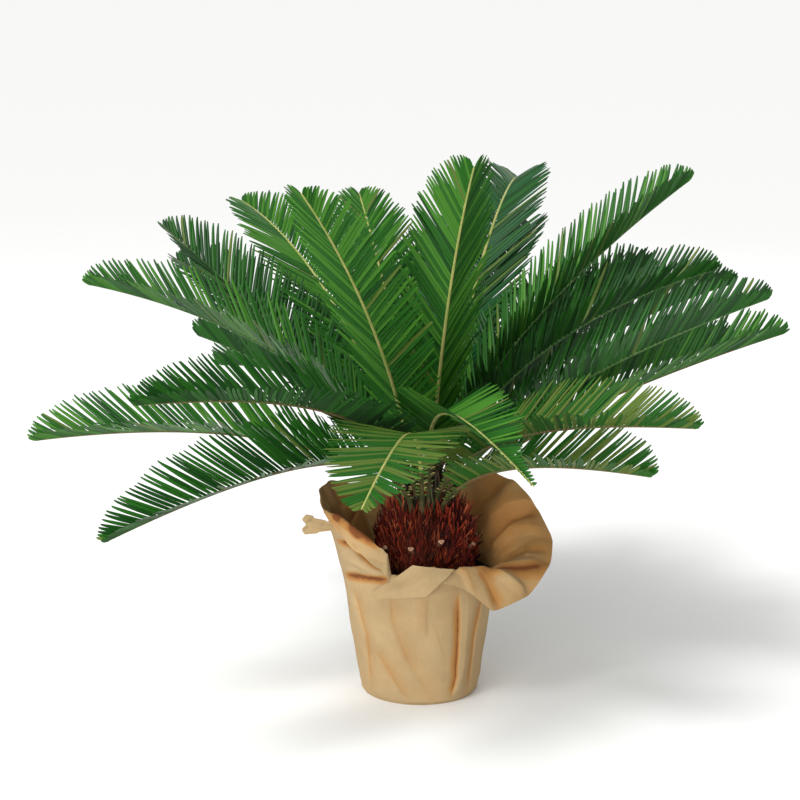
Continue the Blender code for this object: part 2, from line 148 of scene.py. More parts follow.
class ShaderSheet(NodeSheet):
    """The node tree of a new material, with its Principled shader."""

    def __init__(self, name: str) -> None:
        """Starts the material.

        Args:
            name: The material's name.
        """
        self.material = bpy.data.materials.new(name)
        self.material.use_nodes = True
        super().__init__(self.material.node_tree)
        self.shader = self.tree.nodes["Principled BSDF"]
        self.place = self.add("ShaderNodeTexCoord").outputs["Object"]

    def speckle(
        self, scale: float, detail: float = 3.0, stretch: Colour = (1.0, 1.0, 1.0),
    ) -> bpy.types.NodeSocket:
        """Fine noise in the piece's own coordinates.

        Args:
            scale: Specks per metre.
            detail: How many finer layers there are.
            stretch: How much finer it is along each axis.

        Returns:
            The noise as a number from 0 to 1.
        """
        placed = self.add("ShaderNodeMapping", {0: self.place, 3: stretch})
        return self.add(
            "ShaderNodeTexNoise", {"Vector": placed, "Scale": scale, "Detail": detail},
        ).outputs[0]

    def between(self, share: Any, low: Colour, high: Colour) -> bpy.types.NodeSocket:
        """A colour between two others.

        Args:
            share: How much of the second colour there is.
            low: The first colour.
            high: The second colour.

        Returns:
            The mixed colour.
        """
        feeds = {0: share, 6: (*low, 1.0), 7: (*high, 1.0)}
        return self.add("ShaderNodeMix", feeds, data_type="RGBA").outputs[2]

    def span(self, value: Any, low: float, high: float) -> bpy.types.Node:
        """A number from 0 to 1, spread over another span.

        Args:
            value: The number.
            low: Where 0 goes.
            high: Where 1 goes.

        Returns:
            The new node.
        """
        return self.add("ShaderNodeMapRange", {0: value, 3: low, 4: high})

    def bump(self, height: Any, depth: float, strength: float = 1.0, below: Any = None) -> bpy.types.Node:
        """Small relief.

        Args:
            height: The relief's height, from 0 to 1.
            depth: How deep it is, in metres.
            strength: How strongly it shows.
            below: A coarser relief that this one lies on.

        Returns:
            The new node.
        """
        feeds = {"Strength": strength, "Distance": depth, "Height": height}
        if below is not None:
            feeds["Normal"] = below
        return self.add("ShaderNodeBump", feeds)


@dataclass(frozen=True)
class Finish:
    """A plain finish with fine grain: the base of the others."""

    name: str
    colour: Colour
    roughness: float = 0.6
    grain: float = 900.0
    relief: float = 0.0002
    shine: float = 0.3

    def material(self) -> bpy.types.Material:
        """The finish as a material, made once."""
        made = bpy.data.materials.get(self.name)
        if made is None:
            sheet = ShaderSheet(self.name)
            self.paint(sheet)
            made = sheet.material
        return made

    def paint(self, sheet: ShaderSheet) -> None:
        """Lays the finish on a new material.

        Args:
            sheet: The material's nodes.
        """
        speckle = sheet.speckle(self.grain)
        sheet.feed(sheet.shader.inputs["Base Color"], (*self.colour, 1.0))
        sheet.feed(sheet.shader.inputs["Specular IOR Level"], self.shine)
        sheet.feed(
            sheet.shader.inputs["Roughness"],
            sheet.span(speckle, self.roughness - 0.08, self.roughness + 0.08),
        )
        sheet.feed(sheet.shader.inputs["Normal"], sheet.bump(speckle, self.relief))


@dataclass(frozen=True)
class MottledFinish(Finish):
    """A finish whose colour wanders to a second one in soft patches."""

    second: Colour = (0.5, 0.5, 0.5)
    patch: float = 120.0

    def paint(self, sheet: ShaderSheet) -> None:
        """Lays the finish on a new material.

        Args:
            sheet: The material's nodes.
        """
        super().paint(sheet)
        patches = sheet.curve(
            sheet.speckle(self.patch, 4.0), ((0.0, 0.0), (0.38, 0.0), (0.62, 1.0), (1.0, 1.0)),
        )
        sheet.feed(sheet.shader.inputs["Base Color"], sheet.between(patches, self.colour, self.second))


@dataclass(frozen=True)
class KraftFinish(Finish):
    """Brown wrapping paper: fibres, faint ribs, painted shade from orange-brown to dark brown in creases and
    on shaded fold slopes, and paler rubbed colour along raised folds.
    """

    # The next two colours are painted shade: orange-brown for light shade on the paper, dark brown for deep
    # shade in the folds.
    shade_amber: Colour = (0.40, 0.190, 0.050)
    crease: Colour = (0.17, 0.050, 0.010)
    fold: Colour = (0.56, 0.42, 0.25)
    rib_pitch: float = 0.0016

    def paint(self, sheet: ShaderSheet) -> None:
        """Lays the finish on a new material.

        Args:
            sheet: The material's nodes.
        """
        wear_shade = sheet.add("ShaderNodeAttribute", attribute_name=KraftPaper.WEAR_AND_SHADE).outputs["Fac"]
        along = sheet.add("ShaderNodeUVMap", uv_map=KraftPaper.UV_NAME)
        apart = sheet.add("ShaderNodeSeparateXYZ", {0: along})
        fibre = sheet.speckle(420.0, 6.0, (1.0, 1.0, 0.35))
        cloud = sheet.speckle(38.0, 4.0)
        tone = sheet.span(cloud, 0.80, 1.16)
        amount = sheet.math("ABSOLUTE", wear_shade)
        # Painted shade: values below 0 run from orange-brown to dark brown; values above 0 take the paler
        # rubbed fold colour.
        deep = sheet.between(
            sheet.curve(amount, ((0.0, 0.0), (0.45, 0.0), (1.0, 1.0))), self.shade_amber, self.crease,
        )
        pale = sheet.math("GREATER_THAN", wear_shade)
        base = sheet.add(
            "ShaderNodeMix", {0: pale, 6: deep, 7: (*self.fold, 1.0)}, data_type="RGBA",
        ).outputs[2]
        mid = sheet.curve(amount, ((0.0, 0.0), (0.25, 0.35), (0.5, 0.9), (1.0, 1.0)))
        mixed = sheet.add(
            "ShaderNodeMix", {0: mid, 6: (*self.colour, 1.0), 7: base}, data_type="RGBA",
        ).outputs[2]
        shaded = sheet.add("ShaderNodeVectorMath", {0: mixed, "Scale": tone}, operation="SCALE")
        fine = sheet.add(
            "ShaderNodeVectorMath", {0: shaded, "Scale": sheet.span(fibre, 0.93, 1.07)}, operation="SCALE",
        )
        turns = sheet.math("MULTIPLY", apart.outputs[0], 2 * math.pi / self.rib_pitch)
        rib = sheet.math("MULTIPLY_ADD", sheet.math("SINE", turns), 0.5)
        rib.inputs[2].default_value = 0.5
        sheet.feed(sheet.shader.inputs["Base Color"], fine)
        sheet.feed(sheet.shader.inputs["Specular IOR Level"], self.shine)
        sheet.feed(
            sheet.shader.inputs["Roughness"],
            sheet.span(fibre, self.roughness - 0.06, self.roughness + 0.08),
        )
        ribbed = sheet.bump(rib, 0.00003, 0.5)
        sheet.feed(sheet.shader.inputs["Normal"], sheet.bump(fibre, self.relief, 0.6, ribbed))


@dataclass(frozen=True)
class LeafFinish(Finish):
    """Leathery green leaf, with less shine than a plain finish."""

    roughness: float = 0.46
    grain: float = 700.0
    relief: float = 0.00006
    shine: float = 0.2


class LeafTone(Enum):
    """The greens that leaflets are dealt, each a plain finish."""

    DEEP = LeafFinish("leaf_deep", (0.0035, 0.046, 0.0022))
    MIDDLE = LeafFinish("leaf_middle", (0.010, 0.082, 0.0036))
    BRIGHT = LeafFinish("leaf_bright", (0.038, 0.150, 0.010))
    BLUE = LeafFinish("leaf_blue", (0.006, 0.068, 0.014))
    OLIVE = LeafFinish("leaf_olive", (0.075, 0.125, 0.017))
    DRY = LeafFinish("leaf_dry", (0.30, 0.24, 0.09), 0.6)


class RibTone(Enum):
    """What the ribs look like on the different rounds of fronds."""

    PALE = MottledFinish(
        "rib_pale", (0.26, 0.31, 0.075), 0.42, 600.0, 0.00015, 0.3, (0.36, 0.35, 0.11), 60.0,
    )
    GREEN = MottledFinish(
        "rib_green", (0.030, 0.095, 0.015), 0.42, 600.0, 0.00015, 0.3, (0.06, 0.12, 0.03), 60.0,
    )
    OLIVE = MottledFinish(
        "rib_olive", (0.085, 0.10, 0.030), 0.48, 600.0, 0.00015, 0.3, (0.13, 0.075, 0.030), 60.0,
    )


LEAF_TONES = tuple(LeafTone)
PETIOLE = MottledFinish(
    "petiole", (0.035, 0.040, 0.012), 0.5, 600.0, 0.00015, 0.25, (0.080, 0.062, 0.022), 80.0,
)
KRAFT = KraftFinish("kraft_paper", (0.405, 0.282, 0.140), 0.8, 420.0, 0.00006)
POTTING_SOIL = MottledFinish(
    "potting_soil", (0.030, 0.018, 0.010), 0.95, 500.0, 0.0010, 0.2, (0.07, 0.045, 0.028), 160.0,
)
BLACK_PLASTIC = Finish("black_plastic", (0.018, 0.018, 0.018), 0.45, 1200.0, 0.00003)
BULB_CORE = MottledFinish(
    "bulb_core", (0.055, 0.014, 0.008), 0.9, 700.0, 0.0006, 0.2, (0.11, 0.030, 0.014), 140.0,
)
FIBRE_DARK = MottledFinish(
    "fibre_dark", (0.080, 0.006, 0.003), 0.72, 1200.0, 0.0001, 0.2, (0.030, 0.004, 0.003), 60.0,
)
FIBRE_RED = MottledFinish(
    "fibre_red", (0.25, 0.026, 0.006), 0.66, 1200.0, 0.0001, 0.2, (0.13, 0.011, 0.004), 48.0,
)
FIBRE_TAN = MottledFinish(
    "fibre_tan", (0.36, 0.090, 0.030), 0.70, 1200.0, 0.0001, 0.2, (0.24, 0.045, 0.018), 80.0,
)
FELT_DARK = Finish("felt_dark", (0.014, 0.014, 0.007), 0.85, 900.0, 0.0001)
FELT_BROWN = Finish("felt_brown", (0.050, 0.028, 0.014), 0.85, 900.0, 0.0001)
FELT_OLIVE = Finish("felt_olive", (0.050, 0.055, 0.022), 0.8, 900.0, 0.0001)
STUB_SIDE = MottledFinish(
    "stub_side", (0.19, 0.085, 0.045), 0.8, 500.0, 0.0003, 0.2, (0.10, 0.030, 0.02), 200.0,
)
STUB_CUT = MottledFinish("stub_cut", (0.50, 0.31, 0.20), 0.8, 800.0, 0.0002, 0.2, (0.33, 0.15, 0.09), 260.0)
PALE_FLOOR = Finish("pale_floor", (0.86, 0.86, 0.85), 0.7, 40.0, 0.0001)


def new_object(name: str, mesh: bpy.types.Mesh) -> bpy.types.Object:
    """An object at the origin that holds this mesh.

    Args:
        name: The object's name.
        mesh: Its mesh, already in its place.

    Returns:
        The new object.
    """
    made = bpy.data.objects.new(name, mesh)
    bpy.context.scene.collection.objects.link(made)
    return made


def new_mesh(
    name: str,
    points: Iterable[Sequence[float]],
    faces: Iterable[Sequence[int]],
    finishes: Sequence[Finish] = (),
    choice: Callable[[int], int] | None = None,
) -> bpy.types.Mesh:
    """A smooth mesh in one or more finishes.

    Args:
        name: The mesh's name.
        points: Its points.
        faces: Its faces, as point numbers.
        finishes: Its finishes.
        choice: Which finish each face takes, by the face's number.

    Returns:
        The new mesh.
    """
    mesh = bpy.data.meshes.new(name)
    mesh.from_pydata([tuple(p) for p in points], [], [tuple(f) for f in faces])
    for finish in finishes:
        mesh.materials.append(finish.material())
    if choice is not None:
        mesh.polygons.foreach_set("material_index", [choice(i) for i in range(len(mesh.polygons))])
    mesh.shade_smooth()
    mesh.update()
    return mesh


def hand_over(piece: bpy.types.Object, slot: Slot, *nodes: str) -> None:
    """Lets a finished piece ride on the plant and stand for its CAD nodes.

    Args:
        piece: The piece.
        slot: The material slot that it belongs to; not used.
        *nodes: The CAD nodes that it replaces.
    """
    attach(piece, BODY)
    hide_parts(*nodes)
    LOG.info("%s: %d faces", piece.name, len(piece.data.polygons))


def turned(bearing: float, out: float, up: float, centre_x: float = 0.0) -> Vector:
    """The point at a bearing.

    Args:
        bearing: The bearing in radians.
        out: How far out from the axis it is.
        up: How high it is.
        centre_x: Where the axis stands.

    Returns:
        The point.
    """
    return Vector((centre_x + out * math.sin(bearing), -out * math.cos(bearing), up))


def search_tree(node: str) -> BVHTree:
    """A search tree of a CAD node's faces.

    Args:
        node: The node's name.

    Returns:
        The tree.
    """
    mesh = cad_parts[node].data
    return BVHTree.FromPolygons(
        [v.co.copy() for v in mesh.vertices], [tuple(f.vertices) for f in mesh.polygons],
    )


class GrowthTree(NodeSheet):
    """A geometry node tree that grows small things on an object's points or faces."""

    def __init__(self, name: str) -> None:
        """Starts the tree.

        Args:
            name: The tree's name.
        """
        super().__init__(bpy.data.node_groups.new(name, "GeometryNodeTree"))
        self.tree.interface.new_socket(name="Geometry", in_out="INPUT", socket_type="NodeSocketGeometry")
        self.tree.interface.new_socket(name="Geometry", in_out="OUTPUT", socket_type="NodeSocketGeometry")
        self.identifiers: dict[str, str] = {}
        self.source = self.add("NodeGroupInput")

    def size(self, name: str, kind: str = "Float") -> bpy.types.NodeSocket:
        """A named input of the tree.

        Args:
            name: What the input is called.
            kind: Its kind, such as Float, Int or Material.

        Returns:
            The socket to read it from.
        """
        made = self.tree.interface.new_socket(name=name, in_out="INPUT", socket_type=f"NodeSocket{kind}")
        self.identifiers[name] = made.identifier
        return self.source.outputs[name]

    def kept(self, name: str, kind: str) -> bpy.types.NodeSocket:
        """An attribute that the source mesh carries.

        Args:
            name: The attribute's name.
            kind: Its data type.

        Returns:
            The socket to read it from.
        """
        return self.add("GeometryNodeInputNamedAttribute", {0: name}, data_type=kind).outputs[0]

    def random(self, low: Any, high: Any, seed: Any) -> bpy.types.NodeSocket:
        """A random number for each point.

        Args:
            low: The lowest.
            high: The highest.
            seed: The seed.

        Returns:
            The socket to read it from.
        """
        feeds = {2: low, 3: high, 8: seed}
        return self.add("FunctionNodeRandomValue", feeds, data_type="FLOAT").outputs[1]

    def grow(self, name: str, source: bpy.types.Mesh, sizes: dict[str, Any]) -> bpy.types.Object:
        """Runs the tree on a mesh and keeps the result as a plain mesh.

        Args:
            name: The new object's name.
            source: The mesh that things grow on.
            sizes: A value for each named input.

        Returns:
            The new object.
        """
        made = new_object(name, source)
        modifier = made.modifiers.new(self.tree.name, "NODES")
        modifier.node_group = self.tree
        for key, value in sizes.items():
            modifier[self.identifiers[key]] = value
        made.update_tag()
        grown = bpy.data.meshes.new_from_object(made.evaluated_get(bpy.context.evaluated_depsgraph_get()))
        made.modifiers.remove(modifier)
        made.data = grown
        bpy.data.meshes.remove(source)
        grown.name = name
        for attribute in [a.name for a in grown.attributes if a.name in LeafletTree.CARRIED]:
            grown.attributes.remove(grown.attributes[attribute])
        return made


class LeafletTree(GrowthTree):
    """Grows one leaflet on each point: a stiff narrow blade, grooved above, with rolled margins.

    Each point carries its leaflet's direction, the way its upper side faces, its length and width, its side
    of the rib and its tone.
    """

    CARRIED = ("reach", "face", "size", "side", "tone")
    OUTLINE = ((0.0, 0.66), (0.05, 0.86), (0.16, 1.0), (0.5, 0.88), (0.8, 0.52), (0.94, 0.20), (1.0, 0.02))

    def __init__(self) -> None:
        """Builds the tree."""
        super().__init__("leaflets")
        self.steps = self.size("Steps", "Int")
        self.thickness = self.size("Thickness")
        self.margin_roll = self.size("Margin Roll")
        self.groove = self.size("Groove")
        self.sweep = self.size("Sweep")
        self.droop = self.size("Droop")
        self.jitter = self.size("Turn Jitter")
        self.seed = self.size("Seed", "Int")
        tones = {tone: self.size(f"Leaf {tone.name.title()}", "Material") for tone in LeafTone}
        side = self.kept("side", "INT")
        equal = {"data_type": "INT", "operation": "EQUAL"}
        rows = [
            self.row(self.add("FunctionNodeCompare", {2: side, 3: way}, **equal), way) for way in (-1, 1)
        ]
        both = self.add("GeometryNodeJoinGeometry")
        for row in rows:
            self.feed(both.inputs[0], row)
        shape = self.add("GeometryNodeRealizeInstances", {0: both})
        shape = self.add("GeometryNodeSetShadeSmooth", {0: shape})
        tone = self.kept("tone", "INT")
        for index, material in enumerate(tones.values()):
            chosen = self.add("FunctionNodeCompare", {2: tone, 3: index}, **equal)
            shape = self.add("GeometryNodeSetMaterial", {0: shape, 1: chosen, 2: material})
        self.add("NodeGroupOutput", {0: shape})

    def section(self) -> bpy.types.Node:
        """The blade's cross-section, one unit wide, with rolled margins and a groove along its middle."""
        ring = self.add("GeometryNodeCurvePrimitiveCircle", {"Resolution": 8, "Radius": 0.5})
        apart = self.add("ShaderNodeSeparateXYZ", {0: self.add("GeometryNodeInputPosition")})
        wide, high = apart.outputs[0], apart.outputs[1]
        flat = self.math("MULTIPLY", high, self.thickness)
        rolled = self.math(
            "MULTIPLY", self.math("POWER", self.math("ABSOLUTE", wide), 2.0), self.margin_roll,
        )
        top = self.math("LESS_THAN", high, -0.49)
        sunk = self.math("MULTIPLY", top, self.groove)
        height = self.math("ADD", self.math("ADD", flat, rolled), sunk)
        place = self.add("ShaderNodeCombineXYZ", {0: wide, 1: height})
        return self.add("GeometryNodeSetPosition", {0: ring, "Position": place})

    def blade(self, way: int) -> bpy.types.Node:
        """One leaflet of unit length along X, which sweeps towards the frond's tip and droops.

        Args:
            way: 1 for the rib's right side, -1 for its left.

        Returns:
            The node that holds its mesh.
        """
        line = self.add("GeometryNodeCurvePrimitiveLine", {"Start": (0, 0, 0), "End": (1, 0, 0)})
        fine = self.add("GeometryNodeResampleCurve", {0: line, "Count": self.steps})
        along = self.add("GeometryNodeSplineParameter").outputs[0]
        squared = self.math("POWER", along, 2.0)
        swept = self.math("MULTIPLY", self.math("MULTIPLY", squared, self.sweep), float(way))
        fallen = self.math("MULTIPLY", self.math("MULTIPLY", squared, self.droop), -1.0)
        offset = self.add("ShaderNodeCombineXYZ", {1: swept, 2: fallen})
        bent = self.add("GeometryNodeSetPosition", {0: fine, 3: offset})
        wide = self.curve(self.add("GeometryNodeSplineParameter").outputs[0], self.OUTLINE)
        return self.add(
            "GeometryNodeCurveToMesh", {0: bent, 1: self.section(), "Scale": wide, "Fill Caps": True},
        )

    def row(self, chosen: bpy.types.Node, way: int) -> bpy.types.Node:
        """The leaflets of one side of the rib.

        Args:
            chosen: Which points belong to that side.
            way: 1 for the rib's right side, -1 for its left.

        Returns:
            The node that holds the instances.
        """
        axes = {0: self.kept("reach", "FLOAT_VECTOR"), 1: self.kept("face", "FLOAT_VECTOR")}
        faced = self.add("FunctionNodeAxesToRotation", axes, primary_axis="X", secondary_axis="Z")
        angle = self.random(self.math("MULTIPLY", self.jitter, -1.0), self.jitter, self.seed)
        twist = self.add("FunctionNodeAxisAngleToRotation", {0: (1, 0, 0), 1: angle})
        turn = self.add("FunctionNodeRotateRotation", {0: faced, 1: twist}, rotation_space="LOCAL")
        feeds = {
            0: self.source,
            1: chosen,
            2: self.blade(way),
            "Rotation": turn,
            "Scale": self.kept("size", "FLOAT_VECTOR"),
        }
        return self.add("GeometryNodeInstanceOnPoints", feeds)


class FibreTree(GrowthTree):
    """Covers a surface with pointed fibres that lean out and stand up, in three finishes."""

    def __init__(self) -> None:
        """Builds the tree."""
        super().__init__("fibres")
        spacing = self.size("Spacing")
        density = self.size("Density")
        length = self.size("Length")
        growth = self.size("Growth")
        foot = self.size("Foot")
        width = self.size("Width")
        flatness = self.size("Flatness")
        stand = self.size("Stand")
        mess = self.size("Mess")
        seed = self.size("Seed", "Int")
        finishes = [self.size(name, "Material") for name in ("Fibre Dark", "Fibre Red", "Fibre Tan")]
        strewn = self.add(
            "GeometryNodeDistributePointsOnFaces",
            {0: self.source, 2: spacing, 3: density, 6: seed},
            distribute_method="POISSON",
        )
        lift = self.add("ShaderNodeCombineXYZ", {2: stand})
        ways = [
            self.random(self.math("MULTIPLY", mess, -1.0), mess, self.math("ADD", seed, k))
            for k in (1, 2, 3)
        ]
        stray = self.add("ShaderNodeCombineXYZ", dict(enumerate(ways)))
        leant = self.add("ShaderNodeVectorMath", {0: strewn.outputs[1], 1: lift}, operation="ADD")
        reach = self.add("ShaderNodeVectorMath", {0: leant, 1: stray}, operation="ADD")
        axes = {0: reach, 1: strewn.outputs[1]}
        turn = self.add("FunctionNodeAxesToRotation", axes, primary_axis="Z", secondary_axis="X")
        height = self.add("ShaderNodeSeparateXYZ", {0: self.add("GeometryNodeInputPosition")}).outputs[2]
        gained = self.math("MULTIPLY", self.math("SUBTRACT", height, foot), growth)
        base = self.math("ADD", length, gained)
        long = self.math("MULTIPLY", base, self.random(0.55, 1.25, self.math("ADD", seed, 4)))
        wide = self.math("MULTIPLY", width, self.random(0.6, 1.3, self.math("ADD", seed, 5)))
        feeds = {0: strewn, 2: self.spike(flatness), "Rotation": turn}
        feeds["Scale"] = self.add("ShaderNodeCombineXYZ", {0: wide, 1: wide, 2: long})
        planted = self.add("GeometryNodeInstanceOnPoints", feeds)
        draw = self.random(0.0, 1.0, self.math("ADD", seed, 6))
        marked = self.add(
            "GeometryNodeStoreNamedAttribute",
            {0: planted, 2: "tone", 3: draw},
            data_type="FLOAT",
            domain="INSTANCE",
        )
        shape = self.add("GeometryNodeRealizeInstances", {0: marked})
        shape = self.add("GeometryNodeSetShadeSmooth", {0: shape})
        tone = self.kept("tone", "FLOAT")
        for floor, finish in zip((-1.0, 0.46, 0.88), finishes):
            chosen = self.math("GREATER_THAN", tone, floor)
            shape = self.add("GeometryNodeSetMaterial", {0: shape, 1: chosen, 2: finish})
        self.add("NodeGroupOutput", {0: shape})

    def spike(self, flatness: bpy.types.NodeSocket) -> bpy.types.Node:
        """One fibre of unit length along Z, flat, and bent a little outwards.

        Args:
            flatness: Its thickness as a share of its width.

        Returns:
            The node that holds its mesh.
        """
        line = self.add("GeometryNodeCurvePrimitiveLine", {"Start": (0, 0, -0.12), "End": (0, 0, 1)})
        fine = self.add("GeometryNodeResampleCurve", {0: line, "Count": 6})
        along = self.add("GeometryNodeSplineParameter").outputs[0]
        out = self.math("MULTIPLY", self.math("POWER", along, 2.0), -1.6)
        offset = self.add("ShaderNodeCombineXYZ", {0: out})
        bent = self.add("GeometryNodeSetPosition", {0: fine, 3: offset})
        ring = self.add("GeometryNodeCurvePrimitiveCircle", {"Resolution": 5, "Radius": 0.5})
        squeeze = self.add("ShaderNodeCombineXYZ", {0: flatness, 1: 1.0, 2: 1.0})
        place = self.add("GeometryNodeInputPosition")
        flat = self.add("ShaderNodeVectorMath", {0: place, 1: squeeze}, operation="MULTIPLY")
        ring = self.add("GeometryNodeSetPosition", {0: ring, "Position": flat})
        wide = self.curve(
            self.add("GeometryNodeSplineParameter").outputs[0], ((0.0, 1.0), (0.5, 0.78), (1.0, 0.04)),
        )
        return self.add("GeometryNodeCurveToMesh", {0: bent, 1: ring, "Scale": wide, "Fill Caps": True})


@dataclass(frozen=True)
class Frond:
    """One frond, with the CAD source's sizes: a rib that leaves the bulb at the angle rise and ends at fall.

    An early bend, under 1, arches the rib near its foot, and a late one near its tip. Sway turns the tip to
    one side, and leaf scales the leaflets. Vee is the share of the usual V that the two rows of leaflets
    stand in, foot_lean is the angle between the rib and the lowest leaflets, and roll turns the blade about
    its rib, the right row downwards. Tip_leaf scales the last leaflets.
    """

    name: str
    bearing: float
    rise: float
    fall: float
    length: float
    bend: float
    sway: float = 0.0
    leaf: float = 1.0
    vee: float = 1.1
    foot_lean: float = 60.0
    roll: float = 0.0
    rib_tone: RibTone = RibTone.GREEN
    tones: tuple[LeafTone, LeafTone] = (LeafTone.DEEP, LeafTone.MIDDLE)
    tip_leaf: float = 1.0

    def axes(self, share: float) -> tuple[Vector, Vector, Vector]:
        """The rib's three directions at a share of its length.

        Args:
            share: From 0 at the foot to 1 at the tip.

        Returns:
            Ahead along the rib, across it to the right, and up.
        """
        slope = math.radians(self.rise + (self.fall - self.rise) * share**self.bend)
        bearing = math.radians(self.bearing + self.sway * share**1.5)
        ahead = Vector(
            (math.sin(bearing) * math.cos(slope), -math.cos(bearing) * math.cos(slope), math.sin(slope))
        )
        across = Vector((math.cos(bearing), math.sin(bearing), 0.0))
        return ahead, across, ahead.cross(across)

    def uprightness(self, low: float = 12.0, high: float = 62.0) -> float:
        """How upright the frond is as a whole, from 0 to 1.

        Args:
            low: The mean slope that counts as 0.
            high: The mean slope that counts as 1.

        Returns:
            The share.
        """
        mean = self.rise + (self.fall - self.rise) / (1 + self.bend)
        return min(1.0, max(0.0, (mean - low) / (high - low)))


@dataclass
class FrondBuilder:
    """Builds a frond's rib and leaflets by the CAD source's rule, with every leaflet that a real one has."""

    petiole_share: float = 0.17
    seat_gap: float = 0.0007
    foot_half: tuple[float, float] = (0.0026, 0.0021)
    rib_half: tuple[float, float] = (0.0024, 0.0022)
    tip_half: tuple[float, float] = (0.0010, 0.0009)
    clasp: float = 0.0020
    clasp_share: float = 0.07
    path_steps: int = 480
    ring_pitch: float = 0.006
    leaflet_pitch: float = 0.0058
    leaflet_length: float = 0.084
    leaflet_width: float = 0.0039
    shortest: float = 0.36
    tip_lean: float = 44.0
    pinch: float = 22.0
    tip_loss: float = 0.65
    lift: tuple[float, float, float] = (36.0, 12.0, 22.0)
    most_turn: float = math.radians(20)
    step_jitter: float = 0.12
    clumps: tuple[tuple[float, float], ...] = ((1.2, 41.0), (0.8, 97.0))
    lean_spread: float = 1.1
    lift_spread: float = 1.8
    length_spread: tuple[float, float] = (0.94, 1.03)
    width_spread: tuple[float, float] = (0.9, 1.08)
    root_place: tuple[float, float] = (0.6, 0.3)
    window: Vector = field(default_factory=lambda: Vector((0.0, -0.98, 0.2)))
    spine_pitch: float = 0.0062
    first_spine: float = 0.022
    spine_length: tuple[float, float, float] = (0.0035, 0.007, 0.002)
    spine_width: tuple[float, float] = (0.0017, 0.0022)
    foot_sunk: float = 0.008
    tip_point: float = 0.004
    petiole_finish: float = 0.94
    section: tuple[tuple[float, float], ...] = (
        (-1.0, 0.1), (-0.78, 0.7), (-0.36, 0.72), (0.0, 1.0), (0.36, 0.72), (0.78, 0.7), (1.0, 0.1),
        (0.72, -0.66), (0.0, -1.0), (-0.72, -0.66),
    )

    def path(self, frond: Frond, seat: Vector, bulb: BVHTree) -> list[Vector]:
        """The rib's centre line.

        Args:
            frond: The frond.
            seat: Where it stands, seen from above.
            bulb: The bulb's faces.

        Returns:
            Points evenly along the rib.
        """
        ahead = frond.axes(0.0)[0]
        centre = bulb.ray_cast(Vector((seat.x, seat.y, 1.0)), Vector((0, 0, -1)))[0] + ahead * self.seat_gap
        line = [centre]
        for step in range(self.path_steps):
            ahead = frond.axes((step + 0.5) / self.path_steps)[0]
            line.append(line[-1] + ahead * frond.length / self.path_steps)
        return line

    def at(self, line: Sequence[Vector], share: float) -> Vector:
        """The centre line's point at a share of the length.

        Args:
            line: The centre line.
            share: From 0 to 1.

        Returns:
            The point.
        """
        place = min(max(share, 0.0), 1.0) * self.path_steps
        low = min(int(place), self.path_steps - 1)
        return line[low].lerp(line[low + 1], place - low)

    def half_sizes(self, share: float) -> tuple[float, float]:
        """Half the rib's width and depth at a share of its length.

        Args:
            share: From 0 to 1.

        Returns:
            Half the width and half the depth.
        """
        low, high, start, end = self.foot_half, self.rib_half, 0.0, self.petiole_share
        if share > self.petiole_share:
            low, high, start, end = self.rib_half, self.tip_half, self.petiole_share, 1.0
        part = (share - start) / (end - start)
        wide, deep = (a + (b - a) * part for a, b in zip(low, high))
        return wide + self.clasp * max(0.0, 1 - share / self.clasp_share) ** 1.5, deep

    def rib_mesh(self, frond: Frond, line: Sequence[Vector]) -> bpy.types.Mesh:
        """The rib: ridged above, round below, with a widened foot that is sunk in the bulb's fibres.

        Args:
            frond: The frond.
            line: Its centre line.

        Returns:
            The mesh.
        """
        rings = max(12, round(frond.length / self.ring_pitch))
        points: list[Vector] = []
        shares = [0.0] + [k / rings for k in range(rings + 1)]
        for index, share in enumerate(shares):
            ahead, across, up = frond.axes(share)
            wide, deep = self.half_sizes(share)
            centre = self.at(line, share) - (ahead * self.foot_sunk if index == 0 else Vector())
            points += [centre + across * wide * x + up * deep * y for x, y in self.section]
        sides = len(self.section)
        points += [points[0].lerp(points[sides // 2 + 1], 0.5), line[-1] + ahead * self.tip_point]
        foot, tip = len(points) - 2, len(points) - 1
        last = (len(shares) - 1) * sides
        pairs = [(side, (side + 1) % sides) for side in range(sides)]
        faces: list[tuple[int, ...]] = [(foot, here, after) for here, after in pairs]
        for ring in range(0, last, sides):
            faces += [(ring + a, ring + sides + a, ring + sides + b, ring + b) for a, b in pairs]
        faces += [(last + here, tip, last + after) for here, after in pairs]
        bare = sides * sum(share < self.petiole_share * self.petiole_finish for share in shares)
        finishes = (frond.rib_tone.value, PETIOLE)
        return new_mesh(frond.name + "_rib", points, faces, finishes, lambda face: int(face < bare))

    def lean_at(self, frond: Frond, share: float) -> float:
        """The angle between the rib and a leaflet, which gets small at the tip.

        Args:
            frond: The frond.
            share: The leaflet's share of the blade, from 0 to 1.

        Returns:
            The angle in radians.
        """
        return math.radians(
            frond.foot_lean + (self.tip_lean - frond.foot_lean) * share - self.pinch * share**8
        )

    def lift_at(self, frond: Frond, share: float, side: int) -> float:
        """How far a leaflet stands up out of the blade's plane.

        Args:
            frond: The frond.
            share: The leaflet's share of the blade, from 0 to 1.
            side: 1 for the rib's right side, -1 for its left.

        Returns:
            The angle in radians.
        """
        foot, along, near_tip = self.lift
        return math.radians((foot + along * share) * frond.vee + near_tip * share**8 - frond.roll * side)

    def facing(self, face: Vector, distal: Vector) -> Vector:
        """Turns a leaflet's broad side a little towards the window in front.

        Args:
            face: The way its upper side faces.
            distal: The way to the frond's tip, square to the leaflet.

        Returns:
            The way its upper side faces after the turn.
        """
        broad = face.dot(self.window)
        wanted = math.atan2(-distal.dot(self.window) * math.copysign(1.0, broad), abs(broad))
        turn = min(self.most_turn, max(-self.most_turn, wanted))
        return face * math.cos(turn) - distal * math.sin(turn)

